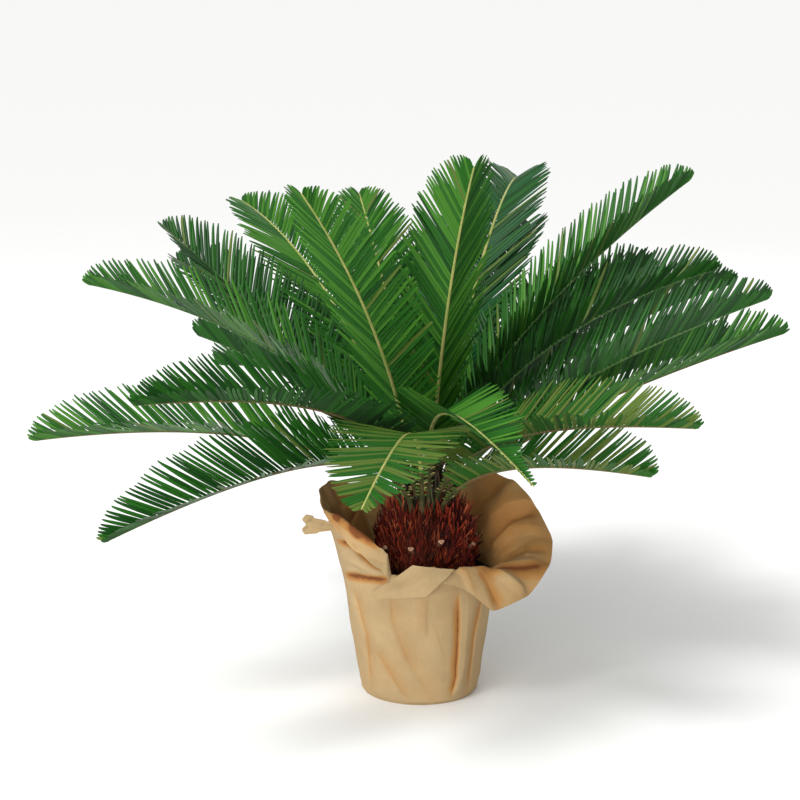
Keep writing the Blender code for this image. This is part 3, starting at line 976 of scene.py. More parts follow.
    def leaflet_reach(self, frond: Frond, share: float) -> float:
        """A leaflet's length at a share of the blade.

        Args:
            frond: The frond.
            share: From 0 to 1.

        Returns:
            The length.
        """
        swell = math.sin(math.pi * share**0.72) ** 0.7
        length = self.leaflet_length * frond.leaf * (self.shortest + (1 - self.shortest) * swell)
        length *= 1 - (1 - frond.tip_leaf) * min(1.0, max(0.0, (share - 0.72) / 0.16))
        return length * (1 - self.tip_loss * share**14) * min(1.0, 0.35 + share / 0.05)

    def leaflet_points(
        self, frond: Frond, line: Sequence[Vector], draw: np.random.Generator,
    ) -> bpy.types.Mesh:
        """The points that the leaflets grow on, with what each carries.

        Args:
            frond: The frond.
            line: Its centre line.
            draw: The seeded source of chance.

        Returns:
            A mesh of loose points.
        """
        count = round(frond.length * (1 - self.petiole_share) / self.leaflet_pitch)
        weights = tone_weights(frond)
        phase = draw.uniform(0, 6, 4)
        (broad, broad_pace), (fine, fine_pace) = self.clumps
        across_share, up_share = self.root_place
        rows: list[tuple[Vector, Vector, Vector, Vector, int, int]] = []
        for side in (-1, 1):
            for step in range(count):
                blade = (step + 0.5 + draw.uniform(-self.step_jitter, self.step_jitter)) / count
                share = self.petiole_share + (1 - self.petiole_share) * blade
                ahead, across, up = frond.axes(share)
                wide, deep = self.half_sizes(share)
                clump = broad * math.sin(broad_pace * blade + phase[side + 1])
                clump += fine * math.sin(fine_pace * blade + phase[2])
                lean = self.lean_at(frond, blade) + math.radians(clump + draw.normal(0, self.lean_spread))
                lift = self.lift_at(frond, blade, side) + math.radians(draw.normal(0, self.lift_spread))
                sideways = across * side * math.cos(lift) + up * math.sin(lift)
                reach = ahead * math.cos(lean) + sideways * math.sin(lean)
                face = (ahead.cross(reach) * side).normalized()
                distal = (ahead - reach * ahead.dot(reach)).normalized()
                face = self.facing(face, distal)
                length = self.leaflet_reach(frond, blade) * draw.uniform(*self.length_spread)
                width = self.leaflet_width * (0.4 + 0.6 * frond.leaf) * draw.uniform(*self.width_spread)
                root = self.at(line, share) + across * side * wide * across_share
                root += up * deep * up_share
                tone = int(draw.choice(len(weights), p=weights))
                rows.append((root, reach, face, Vector((length, width, width)), side, tone))
        return self.carrying(frond.name, rows)

    def carrying(
        self, name: str, rows: Sequence[tuple[Vector, Vector, Vector, Vector, int, int]],
    ) -> bpy.types.Mesh:
        """A mesh of loose points that carry a leaflet's direction, face, size, side and tone.

        Args:
            name: The mesh's name.
            rows: Each point and what it carries.

        Returns:
            The mesh.
        """
        mesh = bpy.data.meshes.new(name + "_points")
        mesh.from_pydata([tuple(row[0]) for row in rows], [], [])
        kinds = ("FLOAT_VECTOR", "FLOAT_VECTOR", "FLOAT_VECTOR", "INT", "INT")
        for column, (label, kind) in enumerate(zip(LeafletTree.CARRIED, kinds), start=1):
            attribute = mesh.attributes.new(label, kind, "POINT")
            if kind == "INT":
                attribute.data.foreach_set("value", [row[column] for row in rows])
            else:
                attribute.data.foreach_set("vector", [c for row in rows for c in row[column]])
        return mesh

    def spine_points(
        self, frond: Frond, line: Sequence[Vector], draw: np.random.Generator,
    ) -> bpy.types.Mesh:
        """The points that the petiole's short spines grow on, which stand for its lowest leaflets.

        Args:
            frond: The frond.
            line: Its centre line.
            draw: The seeded source of chance.

        Returns:
            A mesh of loose points.
        """
        bare = frond.length * self.petiole_share
        count = int((bare - self.first_spine) / self.spine_pitch)
        least, grown, chance = self.spine_length
        rows: list[tuple[Vector, Vector, Vector, Vector, int, int]] = []
        for side in (-1, 1):
            for step in range(count):
                place = self.first_spine + (step + draw.uniform(0.2, 0.8)) * self.spine_pitch
                share = place / frond.length
                ahead, across, up = frond.axes(share)
                wide, _ = self.half_sizes(share)
                reach = (
                    across * side + ahead * draw.uniform(0.3, 0.8) + up * draw.uniform(0.1, 0.5)
                ).normalized()
                length = least + grown * (share / self.petiole_share) ** 3 + draw.uniform(0, chance)
                root = self.at(line, share) + across * side * wide * self.root_place[0]
                tone = LEAF_TONES.index(LeafTone.OLIVE if draw.uniform() < 0.8 else LeafTone.DRY)
                rows.append((root, reach, up, Vector((length, *self.spine_width)), side, tone))
        return self.carrying(frond.name + "_spines", rows)


def tone_weights(frond: Frond) -> list[float]:
    """How a frond's leaflets are dealt the greens: mostly its own two, with a few strays.

    Args:
        frond: The frond.

    Returns:
        A share for each tone, in the order of LEAF_TONES.
    """
    shares = {LeafTone.DEEP: 0.04, LeafTone.MIDDLE: 0.04, LeafTone.OLIVE: 0.02}
    shares[frond.tones[0]] = shares.get(frond.tones[0], 0.0) + 0.5
    shares[frond.tones[1]] = shares.get(frond.tones[1], 0.0) + 0.4
    return [shares.get(tone, 0.0) for tone in LEAF_TONES]


@dataclass
class Rosette:
    """The thirty fronds, seated round the top of the bulb."""

    outer_seat: float = 0.031
    inner_seat: float = 0.006
    spacing: float = 0.0086
    rounds: int = 200
    bulb_x: float = 0.007
    builder: FrondBuilder = field(default_factory=FrondBuilder)
    blade_sizes: dict[str, Any] = field(default_factory=lambda: {
        "Steps": 8, "Thickness": 0.13, "Margin Roll": 0.6, "Groove": 0.08, "Sweep": 0.7, "Droop": 0.5,
        "Turn Jitter": 0.14, "Seed": SEED,
    })
    spine_sizes: dict[str, Any] = field(default_factory=lambda: {
        "Steps": 4, "Thickness": 0.8, "Margin Roll": 0.0, "Groove": 0.0,
    })

    def seats(self) -> list[Vector]:
        """Where each rib stands, seen from above: upright ones in the middle, low ones on the shoulder."""
        seats = []
        for frond in FRONDS:
            out = self.outer_seat + (self.inner_seat - self.outer_seat) * frond.uprightness()
            seats.append(turned(math.radians(frond.bearing), out, 0.0, self.bulb_x))
        for _ in range(self.rounds):
            for first, second in combinations(seats, 2):
                apart = second - first
                if apart.length < self.spacing:
                    push = apart.normalized() * (self.spacing - apart.length) / 2
                    first -= push
                    second += push
        return seats

    def build(self) -> None:
        """Builds every frond as a rib and its leaflets."""
        draw = np.random.default_rng(SEED)
        tree = LeafletTree()
        bulb = search_tree("bulb")
        tones = {f"Leaf {tone.name.title()}": tone.value.material() for tone in LeafTone}
        leaflet_sizes = self.blade_sizes | tones
        spine_sizes = leaflet_sizes | self.spine_sizes
        for frond, seat in zip(FRONDS, self.seats()):
            line = self.builder.path(frond, seat, bulb)
            rib = new_object(frond.name + "_rib", self.builder.rib_mesh(frond, line))
            hand_over(rib, Slot.FROND, frond.name)
            points = self.builder.leaflet_points(frond, line, draw)
            leaflets = tree.grow(frond.name + "_leaflets", points, leaflet_sizes)
            hand_over(leaflets, Slot.FROND, frond.name)
            rows = self.builder.spine_points(frond, line, draw)
            spines = tree.grow(frond.name + "_spines", rows, spine_sizes)
            hand_over(spines, Slot.FROND, frond.name)


DARK = (LeafTone.DEEP, LeafTone.MIDDLE)
FRESH = (LeafTone.MIDDLE, LeafTone.BRIGHT)
COOL = (LeafTone.DEEP, LeafTone.BLUE)
WARM = (LeafTone.MIDDLE, LeafTone.OLIVE)
OLD = (LeafTone.OLIVE, LeafTone.MIDDLE)
FRONDS = (
    Frond("frond_low_front_left", -3, 87, -21, 0.450, 0.52, -13, 1.0, 0.2, 66, 0, RibTone.PALE, OLD),
    Frond("frond_low_left_1", -27, 90, -19, 0.485, 0.33, -35, 0.90, 0.95, 56, 17, RibTone.OLIVE, DARK),
    Frond("frond_low_left_2", -60, 90, -4, 0.450, 0.27, -14, 0.95, 0.85, 56, 15, RibTone.OLIVE, FRESH),
    Frond("frond_mid_left_1", -22, 90, 2, 0.505, 0.32, -36, 0.90, 0.95, 56, 17, RibTone.OLIVE, DARK),
    Frond("frond_mid_left_2", -77, 90, 13, 0.455, 0.44, -5, 1.0, 0.75, 58, 13, RibTone.GREEN, FRESH),
    Frond("frond_mid_left_3", -115, 53, 34, 0.436, 0.75, 0, 1.0, 0.7, 56, 14, RibTone.GREEN, DARK),
    Frond("frond_mid_back_left_1", -128, 49, 18, 0.440, 1.10, -1, 1.0, 0.7, 56, 15, RibTone.GREEN, DARK),
    Frond("frond_top_back_left", -141, 60, 15, 0.475, 1.50, -1, 1.05, 0.35, 50, 8, RibTone.PALE, FRESH),
    Frond("frond_top_front_left", -31, 73, 42, 0.440, 1.00, 0, 1.05, 0.35, 46, 0, RibTone.PALE, FRESH),
    Frond("frond_top_back_1", -166, 72, 34, 0.455, 0.35, 0, 1.05, 0.35, 46, 0, RibTone.PALE, FRESH),
    Frond("frond_top_front", 15, 75, 52, 0.425, 1.80, 0, 1.05, 0.9, 38, 0, RibTone.PALE, FRESH),
    Frond("frond_top_back_2", 155, 67, -10, 0.555, 1.82, 16, 1.05, 0.5, 50, 0, RibTone.PALE, COOL),
    Frond("frond_mid_back_right_1", 152, 80, 7, 0.435, 0.95, 6, 1.0, 0.8, 58, 0, RibTone.GREEN, COOL),
    Frond("frond_top_right", 76, 90, 38, 0.467, 0.40, 9, 1.05, 0.75, 58, -12, RibTone.GREEN, FRESH),
    Frond("frond_mid_right_1", 68, 89, 18, 0.428, 0.53, 9, 1.0, 0.8, 56, -13, RibTone.GREEN, DARK),
    Frond("frond_mid_right_2", 55, 90, 23, 0.461, 0.22, 17, 1.0, 0.85, 56, -14, RibTone.GREEN, DARK),
    Frond("frond_mid_right_3", 68, 76, 19, 0.429, 0.24, 18, 1.0, 0.8, 56, -14, RibTone.OLIVE, FRESH),
    Frond("frond_low_right_1", 25, 88, 4, 0.441, 0.27, 32, 0.90, 0.9, 56, -16, RibTone.OLIVE, WARM),
    Frond("frond_low_right_2", 27, 80, 1, 0.361, 0.27, 24, 0.90, 0.9, 56, -15, RibTone.OLIVE, WARM),
    Frond(
        "frond_low_front_right", -1, 88, -23, 0.470, 0.58, 32, 0.75, 0.8, 58, 0, RibTone.PALE, FRESH, 0.45,
    ),
    Frond("frond_low_back_1", -101, 66, 17, 0.310, 0.70),
    Frond("frond_low_back_2", -140, 82, -10, 0.405, 0.40),
    Frond("frond_low_back_3", -172, 82, -16, 0.450, 0.42, rib_tone=RibTone.OLIVE),
    Frond("frond_low_back_4", 150, 82, -12, 0.430, 0.40, rib_tone=RibTone.OLIVE),
    Frond("frond_low_back_5", 110, 82, 2, 0.420, 0.36),
    Frond("frond_mid_back_1", -160, 84, 6, 0.450, 0.50, tones=FRESH),
    Frond("frond_mid_back_2", 178, 84, 12, 0.440, 0.50, rib_tone=RibTone.PALE),
    Frond("frond_mid_back_3", 130, 84, 8, 0.430, 0.50, tones=FRESH),
    Frond("frond_mid_back_4", 96, 84, 16, 0.420, 0.45),
    Frond("frond_mid_back_5", 113, 84, 20, 0.380, 0.60),
)


@dataclass(frozen=True)
class BrimStop:
    """One bearing of the flared brim: a crest above the rim, then the paper's edge, as radius and height."""

    bearing: float
    crest_out: float
    crest_up: float
    edge_out: float
    edge_up: float

    def towards(self, other: "BrimStop", share: float) -> tuple[float, float, float, float]:
        """The brim between this stop and the next.

        Args:
            other: The next stop.
            share: How far towards it.

        Returns:
            The crest's radius and height and the edge's.
        """
        eased = share * share * (3 - 2 * share)
        here = (self.crest_out, self.crest_up, self.edge_out, self.edge_up)
        there = (other.crest_out, other.crest_up, other.edge_out, other.edge_up)
        return tuple(a + (b - a) * eased for a, b in zip(here, there))


BRIM = (
    BrimStop(0, 0.092, 0.167, 0.103, 0.137),
    BrimStop(25, 0.093, 0.164, 0.108, 0.131),
    BrimStop(45, 0.097, 0.163, 0.121, 0.118),
    BrimStop(62, 0.104, 0.158, 0.136, 0.128),
    BrimStop(78, 0.112, 0.160, 0.148, 0.152),
    BrimStop(92, 0.115, 0.167, 0.151, 0.170),
    BrimStop(108, 0.110, 0.180, 0.143, 0.200),
    BrimStop(125, 0.103, 0.190, 0.132, 0.226),
    BrimStop(145, 0.098, 0.190, 0.119, 0.238),
    BrimStop(170, 0.096, 0.182, 0.110, 0.220),
    BrimStop(195, 0.096, 0.175, 0.105, 0.206),
    BrimStop(225, 0.097, 0.183, 0.109, 0.222),
    BrimStop(250, 0.099, 0.190, 0.109, 0.234),
    BrimStop(270, 0.101, 0.195, 0.113, 0.232),
    BrimStop(288, 0.103, 0.205, 0.113, 0.215),
    BrimStop(302, 0.100, 0.208, 0.107, 0.196),
    BrimStop(318, 0.096, 0.196, 0.104, 0.180),
    BrimStop(333, 0.092, 0.186, 0.100, 0.166),
    BrimStop(337.5, 0.0915, 0.181, 0.099, 0.160),
    BrimStop(339.5, 0.0912, 0.158, 0.0985, 0.146),
    BrimStop(349, 0.0915, 0.156, 0.099, 0.141),
    BrimStop(355, 0.092, 0.166, 0.102, 0.138),
)


@dataclass(frozen=True)
class Crease:
    """A fold of the paper along places, each a bearing and a row place: 0 the foot, 1 the rim, 2 the edge.

    A positive depth stands out of the paper and a negative one is pressed in. The paper slopes to the fold
    over the width, and on the left of the path, seen from outside, over the width left where that isn't 0.
    The last number is painted shade: how dark the slopes are painted, standing in for the shade in the fold.
    """

    places: tuple[tuple[float, float], ...]
    depth: float
    width: float
    left: float = 0.0
    painted_shade: float = 0.0


# A fold's fifth number, where given, is the painted shade on its slopes.
CREASES = (
    Crease(((-82, 1.60), (-62, 1.63), (-44, 1.63), (-29, 1.56)), -0.0045, 0.008, 0.007, 1.7),
    Crease(((-68, 1.98), (-45, 1.96), (-30, 1.93), (-23, 1.88)), 0.0040, 0.010),
    Crease(((-75, 1.28), (-56, 1.25), (-38, 1.22), (-22, 1.21)), -0.0045, 0.007, 0.006, 1.5),
    Crease(((-74, 1.42), (-52, 1.42), (-30, 1.36)), 0.0040, 0.010),
    Crease(((-74, 1.02), (-56, 1.04), (-38, 1.07), (-22, 1.12)), -0.0035, 0.008, 0.006, 1.6),
    Crease(((-74, 1.15), (-54, 1.14), (-30, 1.16)), 0.0040, 0.009),
    Crease(((31, 0.02), (35, 0.20), (33, 0.60), (30, 0.99)), -0.0022, 0.003, 0.010, 1.0),
    Crease(((37, 0.02), (41, 0.30), (38, 0.98)), 0.0022, 0.016),
    Crease(((12, 0.03), (-12, 0.40), (-23, 0.74), (-22, 0.96)), -0.0018, 0.020, 0.004, 0.25),
    Crease(((-12, 0.02), (-24, 0.18), (-44, 0.46)), -0.0018, 0.018, 0.004, 0.35),
    Crease(((4, 0.60), (3, 0.80), (4, 0.99)), 0.0016, 0.004, 0.014, 0.2),
    Crease(((-56, 0.05), (-52, 0.55), (-60, 0.95)), -0.0018, 0.018, 0.004, 0.4),
    Crease(((56, 0.05), (52, 0.50), (57, 0.92)), -0.0018, 0.003, 0.016, 0.5),
    Crease(((92, 0.03), (97, 0.50), (90, 0.99)), -0.0020, 0.016, 0.004, 0.5),
    Crease(((148, 0.03), (139, 0.45), (146, 0.98)), 0.0022, 0.018, 0.005, 0.4),
    Crease(((196, 0.03), (205, 0.40), (199, 0.97)), -0.0020, 0.004, 0.018, 0.5),
    Crease(((247, 0.05), (252, 0.60), (243, 0.99)), 0.0022, 0.016, 0.006, 0.4),
    Crease(((6, 1.45), (8, 1.70), (10, 2.0)), -0.0030, 0.010, 0.004, 0.6),
    Crease(((26, 1.40), (30, 1.70), (33, 2.0)), -0.0030, 0.012, 0.006, 0.3),
    Crease(((38, 1.50), (62, 1.52), (70, 1.76), (79, 2.0)), 0.0045, 0.010, 0.018, 0.9),
    Crease(((52, 1.58), (57, 1.78), (62, 1.97)), -0.0045, 0.008, 0.010),
    Crease(((40, 1.55), (44, 1.78), (47, 2.0)), 0.0035, 0.014, 0.010, 0.5),
    Crease(((90, 1.10), (86, 1.50), (86, 1.95)), 0.0040, 0.016, 0.010, 0.3),
    Crease(((115, 1.08), (106, 1.50), (98, 1.96)), -0.0060, 0.022, 0.012, 0.2),
    Crease(((120, 1.15), (112, 1.60), (105, 1.98)), 0.0050, 0.016, 0.012, 0.4),
    Crease(((125, 1.35), (118, 1.70), (112, 2.0)), -0.0060, 0.020, 0.012, 0.2),
    Crease(((142, 1.10), (136, 1.60), (130, 2.0)), 0.0060, 0.024, 0.012, 0.3),
    Crease(((160, 1.05), (164, 1.50), (170, 2.0)), -0.0050, 0.022, 0.012, 0.4),
    Crease(((190, 1.05), (196, 1.60), (200, 2.0)), 0.0050, 0.022, 0.012),
    Crease(((222, 1.05), (228, 1.60), (236, 2.0)), -0.0050, 0.022, 0.012, 0.4),
    Crease(((250, 1.05), (256, 1.60), (262, 2.0)), 0.0055, 0.022, 0.010),
)


@dataclass(frozen=True)
class Facets:
    """Flat facets that meet in straight folds, as handling leaves them in paper."""

    pitches: tuple[float, ...] = (0.083, 0.061, 0.046, 0.034)
    warp: float = 0.22

    def height(self, places: np.ndarray) -> np.ndarray:
        """The facets' height for a slope of 1.

        Args:
            places: A grid of points.

        Returns:
            The height at each of them, from about -0.03 to 0.03.
        """
        draw = np.random.default_rng(SEED + 3)
        bend = np.array([[noise.noise(Vector(p) * 14) for p in row] for row in places])
        total = np.zeros(places.shape[:2])
        for pitch in self.pitches:
            way = draw.normal(0, 1, 3) * (1.0, 1.0, 0.7)
            run = places @ (way / np.linalg.norm(way)) / pitch + draw.uniform() + self.warp * bend
            total += pitch / 2 * (np.abs(run % 1 * 2 - 1) - 0.5)
        return total


@dataclass(frozen=True)
class Flap:
    """A loose corner of the paper, between four corners that each have a bearing, a radius and a height."""

    name: str
    corners: tuple[tuple[float, float, float], ...]
    bulge: float
    ripple: float
    steps: int = 28

    def grid(self) -> np.ndarray:
        """The middle of the paper, row by row from the first edge to the third."""
        steps = np.linspace(0.0, 1.0, self.steps + 1)
        down, across = steps[:, None, None], steps[None, :, None]
        first, second, third, fourth = np.array(self.corners)
        polar = (1 - down) * ((1 - across) * first + across * fourth) + down * (
            (1 - across) * second + across * third
        )
        swell = np.sin(math.pi * down) * np.sin(math.pi * across)
        waves = np.sin(9 * down + 5 * across) * np.cos(7 * across - 4 * down)
        out = polar[..., 1] + (self.bulge * swell + self.ripple * waves)[..., 0]
        angle = np.radians(polar[..., 0])
        return np.stack([out * np.sin(angle), -out * np.cos(angle), polar[..., 2]], axis=2)


FLAPS = (
    Flap(
        "cuff_flap",
        ((-5, 0.0975, 0.1725), (-39, 0.0960, 0.1285), (3, 0.1080, 0.1400), (22, 0.0985, 0.1660)),
        0.005,
        0.0006,
    ),
    Flap(
        "loose_corner",
        ((-66, 0.1040, 0.2060), (-75, 0.1330, 0.2130), (-78, 0.1350, 0.1890), (-66, 0.1040, 0.1970)),
        0.003,
        0.004,
    ),
)


@dataclass(frozen=True)
class Sheet:
    """The middle of the paper as a grid, with the way each point faces."""

    places: np.ndarray
    facing: np.ndarray

    @classmethod
    def through(cls, places: np.ndarray) -> "Sheet":
        """The sheet through these points.

        Args:
            places: The sheet's points, row by row from the foot, each row once round.

        Returns:
            The sheet.
        """
        across = np.roll(places, -1, axis=1) - np.roll(places, 1, axis=1)
        facing = np.cross(across, np.gradient(places, axis=0))
        return cls(places, facing / np.linalg.norm(facing, axis=2, keepdims=True))

    def slopes(self, path: np.ndarray, width: float, left: float) -> tuple[np.ndarray, np.ndarray]:
        """How near the sheet's points are to a fold.

        Args:
            path: The fold's points.
            width: How far its slope reaches on the right.
            left: How far its slope reaches on the left.

        Returns:
            For each point of the sheet the nearness from 0 to 1, and the distance.
        """
        best = np.full(self.places.shape[:2], np.inf)
        place, on_left = np.zeros_like(best), np.zeros(best.shape, bool)
        for index, (start, end) in enumerate(zip(path, path[1:])):
            run, rel = end - start, self.places - start
            share = np.clip((rel @ run) / max(run @ run, 1e-12), 0, 1)
            apart = np.linalg.norm(rel - share[..., None] * run, axis=2)
            nearer = apart < best
            turned_left = (np.cross(run, rel) * self.facing).sum(axis=2) > 0
            best = np.where(nearer, apart, best)
            place = np.where(nearer, (index + share) / (len(path) - 1), place)
            on_left = np.where(nearer, turned_left, on_left)
        fade = np.clip(np.minimum(place, 1 - place) * 5 + 0.15, 0, 1)
        near = np.clip(1 - best / np.where(on_left, left, width), 0, 1) ** 1.1
        return fade * near, best


@dataclass
class KraftPaper:
    """The sheet of kraft paper: wrapped round the pot, and folded out above its rim."""

    # The attribute that carries the paler rubbed folds and the painted shade.
    WEAR_AND_SHADE = "wear"
    UV_NAME = "paper"

    sides: int = 480
    body_rows: int = 64
    brim_rows: int = 76
    thickness: float = 0.0007
    foot_radius: float = 0.0635
    corner_out: float = 0.003
    corner_up: float = 0.004
    rim_radius: float = 0.0865
    rim_up: float = 0.137
    pleat_depth: float = 0.0016
    crumples: int = 46
    facet_slopes: tuple[float, float] = (0.030, 0.085)
    # The width of the pale rubbed line along a raised fold and of the painted shade line along a pressed-in
    # fold.
    fold_line: float = 0.0012
    # Painted shade on the paper's inner side, at its strongest.
    inner_painted_shade: float = -0.38
    wander_up: float = 0.0004
    wander_wear: float = 0.12
    deepest_dent: float = 0.0024
    still_rows: int = 4
    floor_shares: tuple[float, ...] = (0.3, 0.6, 0.85, 1.0)
    floor_inset: float = 0.99
    flap_facets: float = 0.06
    map_radius: float = 0.08
    sharp_angle: float = 30.0
    edge_cut: tuple[tuple[float, float], ...] = (
        (-7, 0.0), (0, 0.06), (3, 0.11), (12, 0.18), (20, 0.17), (33, 0.07), (42, 0.0),
    )

    def pleats(self, bearing: float, up: float) -> float:
        """How far the wrap stands off the pot.

        Args:
            bearing: The bearing in radians.
            up: The height.

        Returns:
            The distance.
        """
        wave = 0.5 + 0.32 * math.sin(9 * bearing) + 0.18 * math.sin(4 * bearing + 1.3)
        return self.pleat_depth * wave * min(1.0, up / self.rim_up)

    def side_radius(self, up: float) -> float:
        """The wrap's outer radius at a height, without its pleats.

        Args:
            up: The height.

        Returns:
            The radius.
        """
        foot = self.foot_radius + self.corner_out
        return foot + (self.rim_radius - foot) * (up - self.corner_up) / (self.rim_up - self.corner_up)

    def brim_at(self, bearing: float) -> tuple[float, float, float, float]:
        """The crest and the edge of the brim at a bearing.

        Args:
            bearing: The bearing in degrees.

        Returns:
            The crest's radius and height and the edge's.
        """
        turn = bearing % 360
        last = BrimStop(360, *BRIM[0].towards(BRIM[0], 0.0))
        for low, high in zip(BRIM, BRIM[1:] + (last,)):
            if low.bearing <= turn <= high.bearing:
                return low.towards(high, (turn - low.bearing) / (high.bearing - low.bearing))
        raise ValueError(f"no brim at {bearing}")

    def point(self, bearing: float, place: float) -> Vector:
        """A point in the middle of the paper, before its folds.

        Args:
            bearing: The bearing in degrees.
            place: From 0 at the foot over 1 at the rim to 2 at the edge.

        Returns:
            The point.
        """
        turn = math.radians(bearing)
        half = self.thickness / 2
        if place <= 1.0:
            up = self.corner_up + (self.rim_up - self.corner_up) * place
            return turned(turn, self.side_radius(up) + self.pleats(turn, up) - half, up)
        front = (bearing + 180) % 360 - 180
        along = (place - 1.0) * (1 - float(np.interp(front, *zip(*self.edge_cut))))
        crest_out, crest_up, edge_out, edge_up = self.brim_at(bearing)
        rim = Vector((self.side_radius(self.rim_up) + self.pleats(turn, self.rim_up) - half, self.rim_up))
        crest, edge = Vector((crest_out, crest_up)), Vector((edge_out, edge_up))
        pull = 2 * crest - (rim + edge) / 2
        out, up = (1 - along) ** 2 * rim + 2 * along * (1 - along) * pull + along**2 * edge
        return turned(turn, out, up)

    def plain_sheet(self) -> Sheet:
        """The sheet from the foot's corner to the edge, before its folds."""
        places = [k / self.body_rows for k in range(self.body_rows)]
        places += [1 + k / self.brim_rows for k in range(self.brim_rows + 1)]
        bearings = [360 * k / self.sides for k in range(self.sides)]
        return Sheet.through(
            np.array([[self.point(bearing, place) for bearing in bearings] for place in places])
        )

    def random_creases(self) -> list[Crease]:
        """The small folds that lie everywhere, finer and flatter on the pot than on the brim."""
        draw = np.random.default_rng(SEED)
        made = []
        for _ in range(self.crumples):
            bearing, place = draw.uniform(0, 360), draw.uniform(0.05, 2.0)
            slant, reach = draw.uniform(0, math.pi), draw.uniform(0.10, 0.34)
            over, down = 40 * reach * math.cos(slant), reach * math.sin(slant)
            bow = draw.uniform(-0.2, 0.2) * reach
            path = tuple(
                (bearing + s * over + 30 * bow * (s == 0), min(2.0, max(0.02, place + s * down)))
                for s in (-1, 0, 1)
            )
            loose = min(1.0, max(0.0, (place - 0.9) * 2))
            depth = draw.uniform(0.0004, 0.0010) * (1 + 1.6 * loose) * draw.choice((-1, 1))
            width = draw.uniform(0.006, 0.016)
            # Each small fold gets a little painted shade on its slopes.
            made.append(Crease(path, depth, width, width * draw.uniform(0.2, 0.8), 0.06))
        return made

    def folded(self, sheet: Sheet) -> tuple[np.ndarray, np.ndarray, np.ndarray]:
        """The sheet's folds.

        Args:
            sheet: The plain sheet.

        Returns:
            How far each point is pushed out, its pale rubbed lines and dark painted shade lines along the
            folds, from dark at -1 to pale at 1, and the painted shade on the folds' slopes.
        """
        moved = np.zeros(sheet.places.shape[:2])
        wear, painted_shade = np.zeros_like(moved), np.zeros_like(moved)
        for crease in CREASES + tuple(self.random_creases()):
            path = np.array([self.point(bearing, place) for bearing, place in crease.places])
            near, apart = sheet.slopes(path, crease.width, crease.left or crease.width)
            moved += crease.depth * near
            strength = 0.3 * min(1.0, max(0.0, abs(crease.depth) / 0.002 - 0.5))
            # A raised fold gets a pale rubbed line, a pressed-in fold a dark line of painted shade.
            line = np.clip(1 - apart / self.fold_line, 0, 1) * (near > 0)
            wear += math.copysign(strength, crease.depth) * line
            # Painted shade over the fold's slopes.
            painted_shade += crease.painted_shade * near
        wander = np.array([[noise.noise(Vector(p) * 30) for p in row] for row in sheet.places])
        share = np.clip((np.arange(len(moved)) - self.body_rows) / self.brim_rows * 3, 0, 1)[:, None]
        flat, loose = self.facet_slopes
        moved += Facets().height(sheet.places) * (flat + (loose - flat) * share) + self.wander_up * wander
        return moved, wear + self.wander_wear * wander, painted_shade

    def build(self) -> None:
        """Builds the wrap and the brim, each as one closed shell, and lays the finish on."""
        plain = self.plain_sheet()
        moved, wear, painted_shade = self.folded(plain)
        row = np.arange(len(moved))[:, None]
        held = np.clip(moved, -self.deepest_dent, None)
        moved = np.where(row < self.body_rows + 2, held, moved) * np.clip(row / self.still_rows, 0, 1)
        sheet = Sheet.through(plain.places + plain.facing * moved[..., None])
        half = self.thickness / 2
        outer, inner = sheet.places + sheet.facing * half, sheet.places - sheet.facing * half
        inner[0, :, 2] = np.maximum(inner[0, :, 2], self.thickness * 1.5)
        bearing = np.arange(self.sides) * 2 * math.pi / self.sides
        # Painted shade on the paper's inner side: none at the front, most at the back.
        shade = self.inner_painted_shade * np.clip(1.2 * (1 - np.cos(bearing)), 0, 1)
        # Both sides take the painted shade of the fold slopes; the inner side also darkens with painted shade
        # where a fold stands out, which is a hollow seen from inside.
        outer_wear_and_shade, inner_wear_and_shade = np.clip(wear - painted_shade, -1, 1), np.clip(shade - wear - painted_shade, -1, 1)
        rim = self.body_rows
        ring = np.array(
            [turned(2 * math.pi * k / self.sides, self.foot_radius, 0.0) for k in range(self.sides)]
        )
        shares = self.floor_shares
        low = [ring * share for share in shares]
        high = [ring * share * self.floor_inset + (0, 0, self.thickness) for share in reversed(shares)]
        plain_wear = [np.zeros(self.sides)] * len(shares)
        self.shell(
            "kraft_wrap",
            low + list(outer[: rim + 1]) + list(inner[rim::-1]) + high,
            plain_wear + list(outer_wear_and_shade[: rim + 1]) + list(inner_wear_and_shade[rim::-1]) + plain_wear,
            (Vector((0, 0, 0)), Vector((0, 0, self.thickness))),
            Slot.WRAP,
            "paper_wrap",
        )
        self.shell(
            "kraft_brim",
            list(outer[rim:]) + list(inner[: rim - 1 : -1]),
            list(outer_wear_and_shade[rim:]) + list(inner_wear_and_shade[: rim - 1 : -1]),
            (),
            Slot.BRIM,
            "paper_brim",
        )
        for flap in FLAPS:
            self.flap(flap)

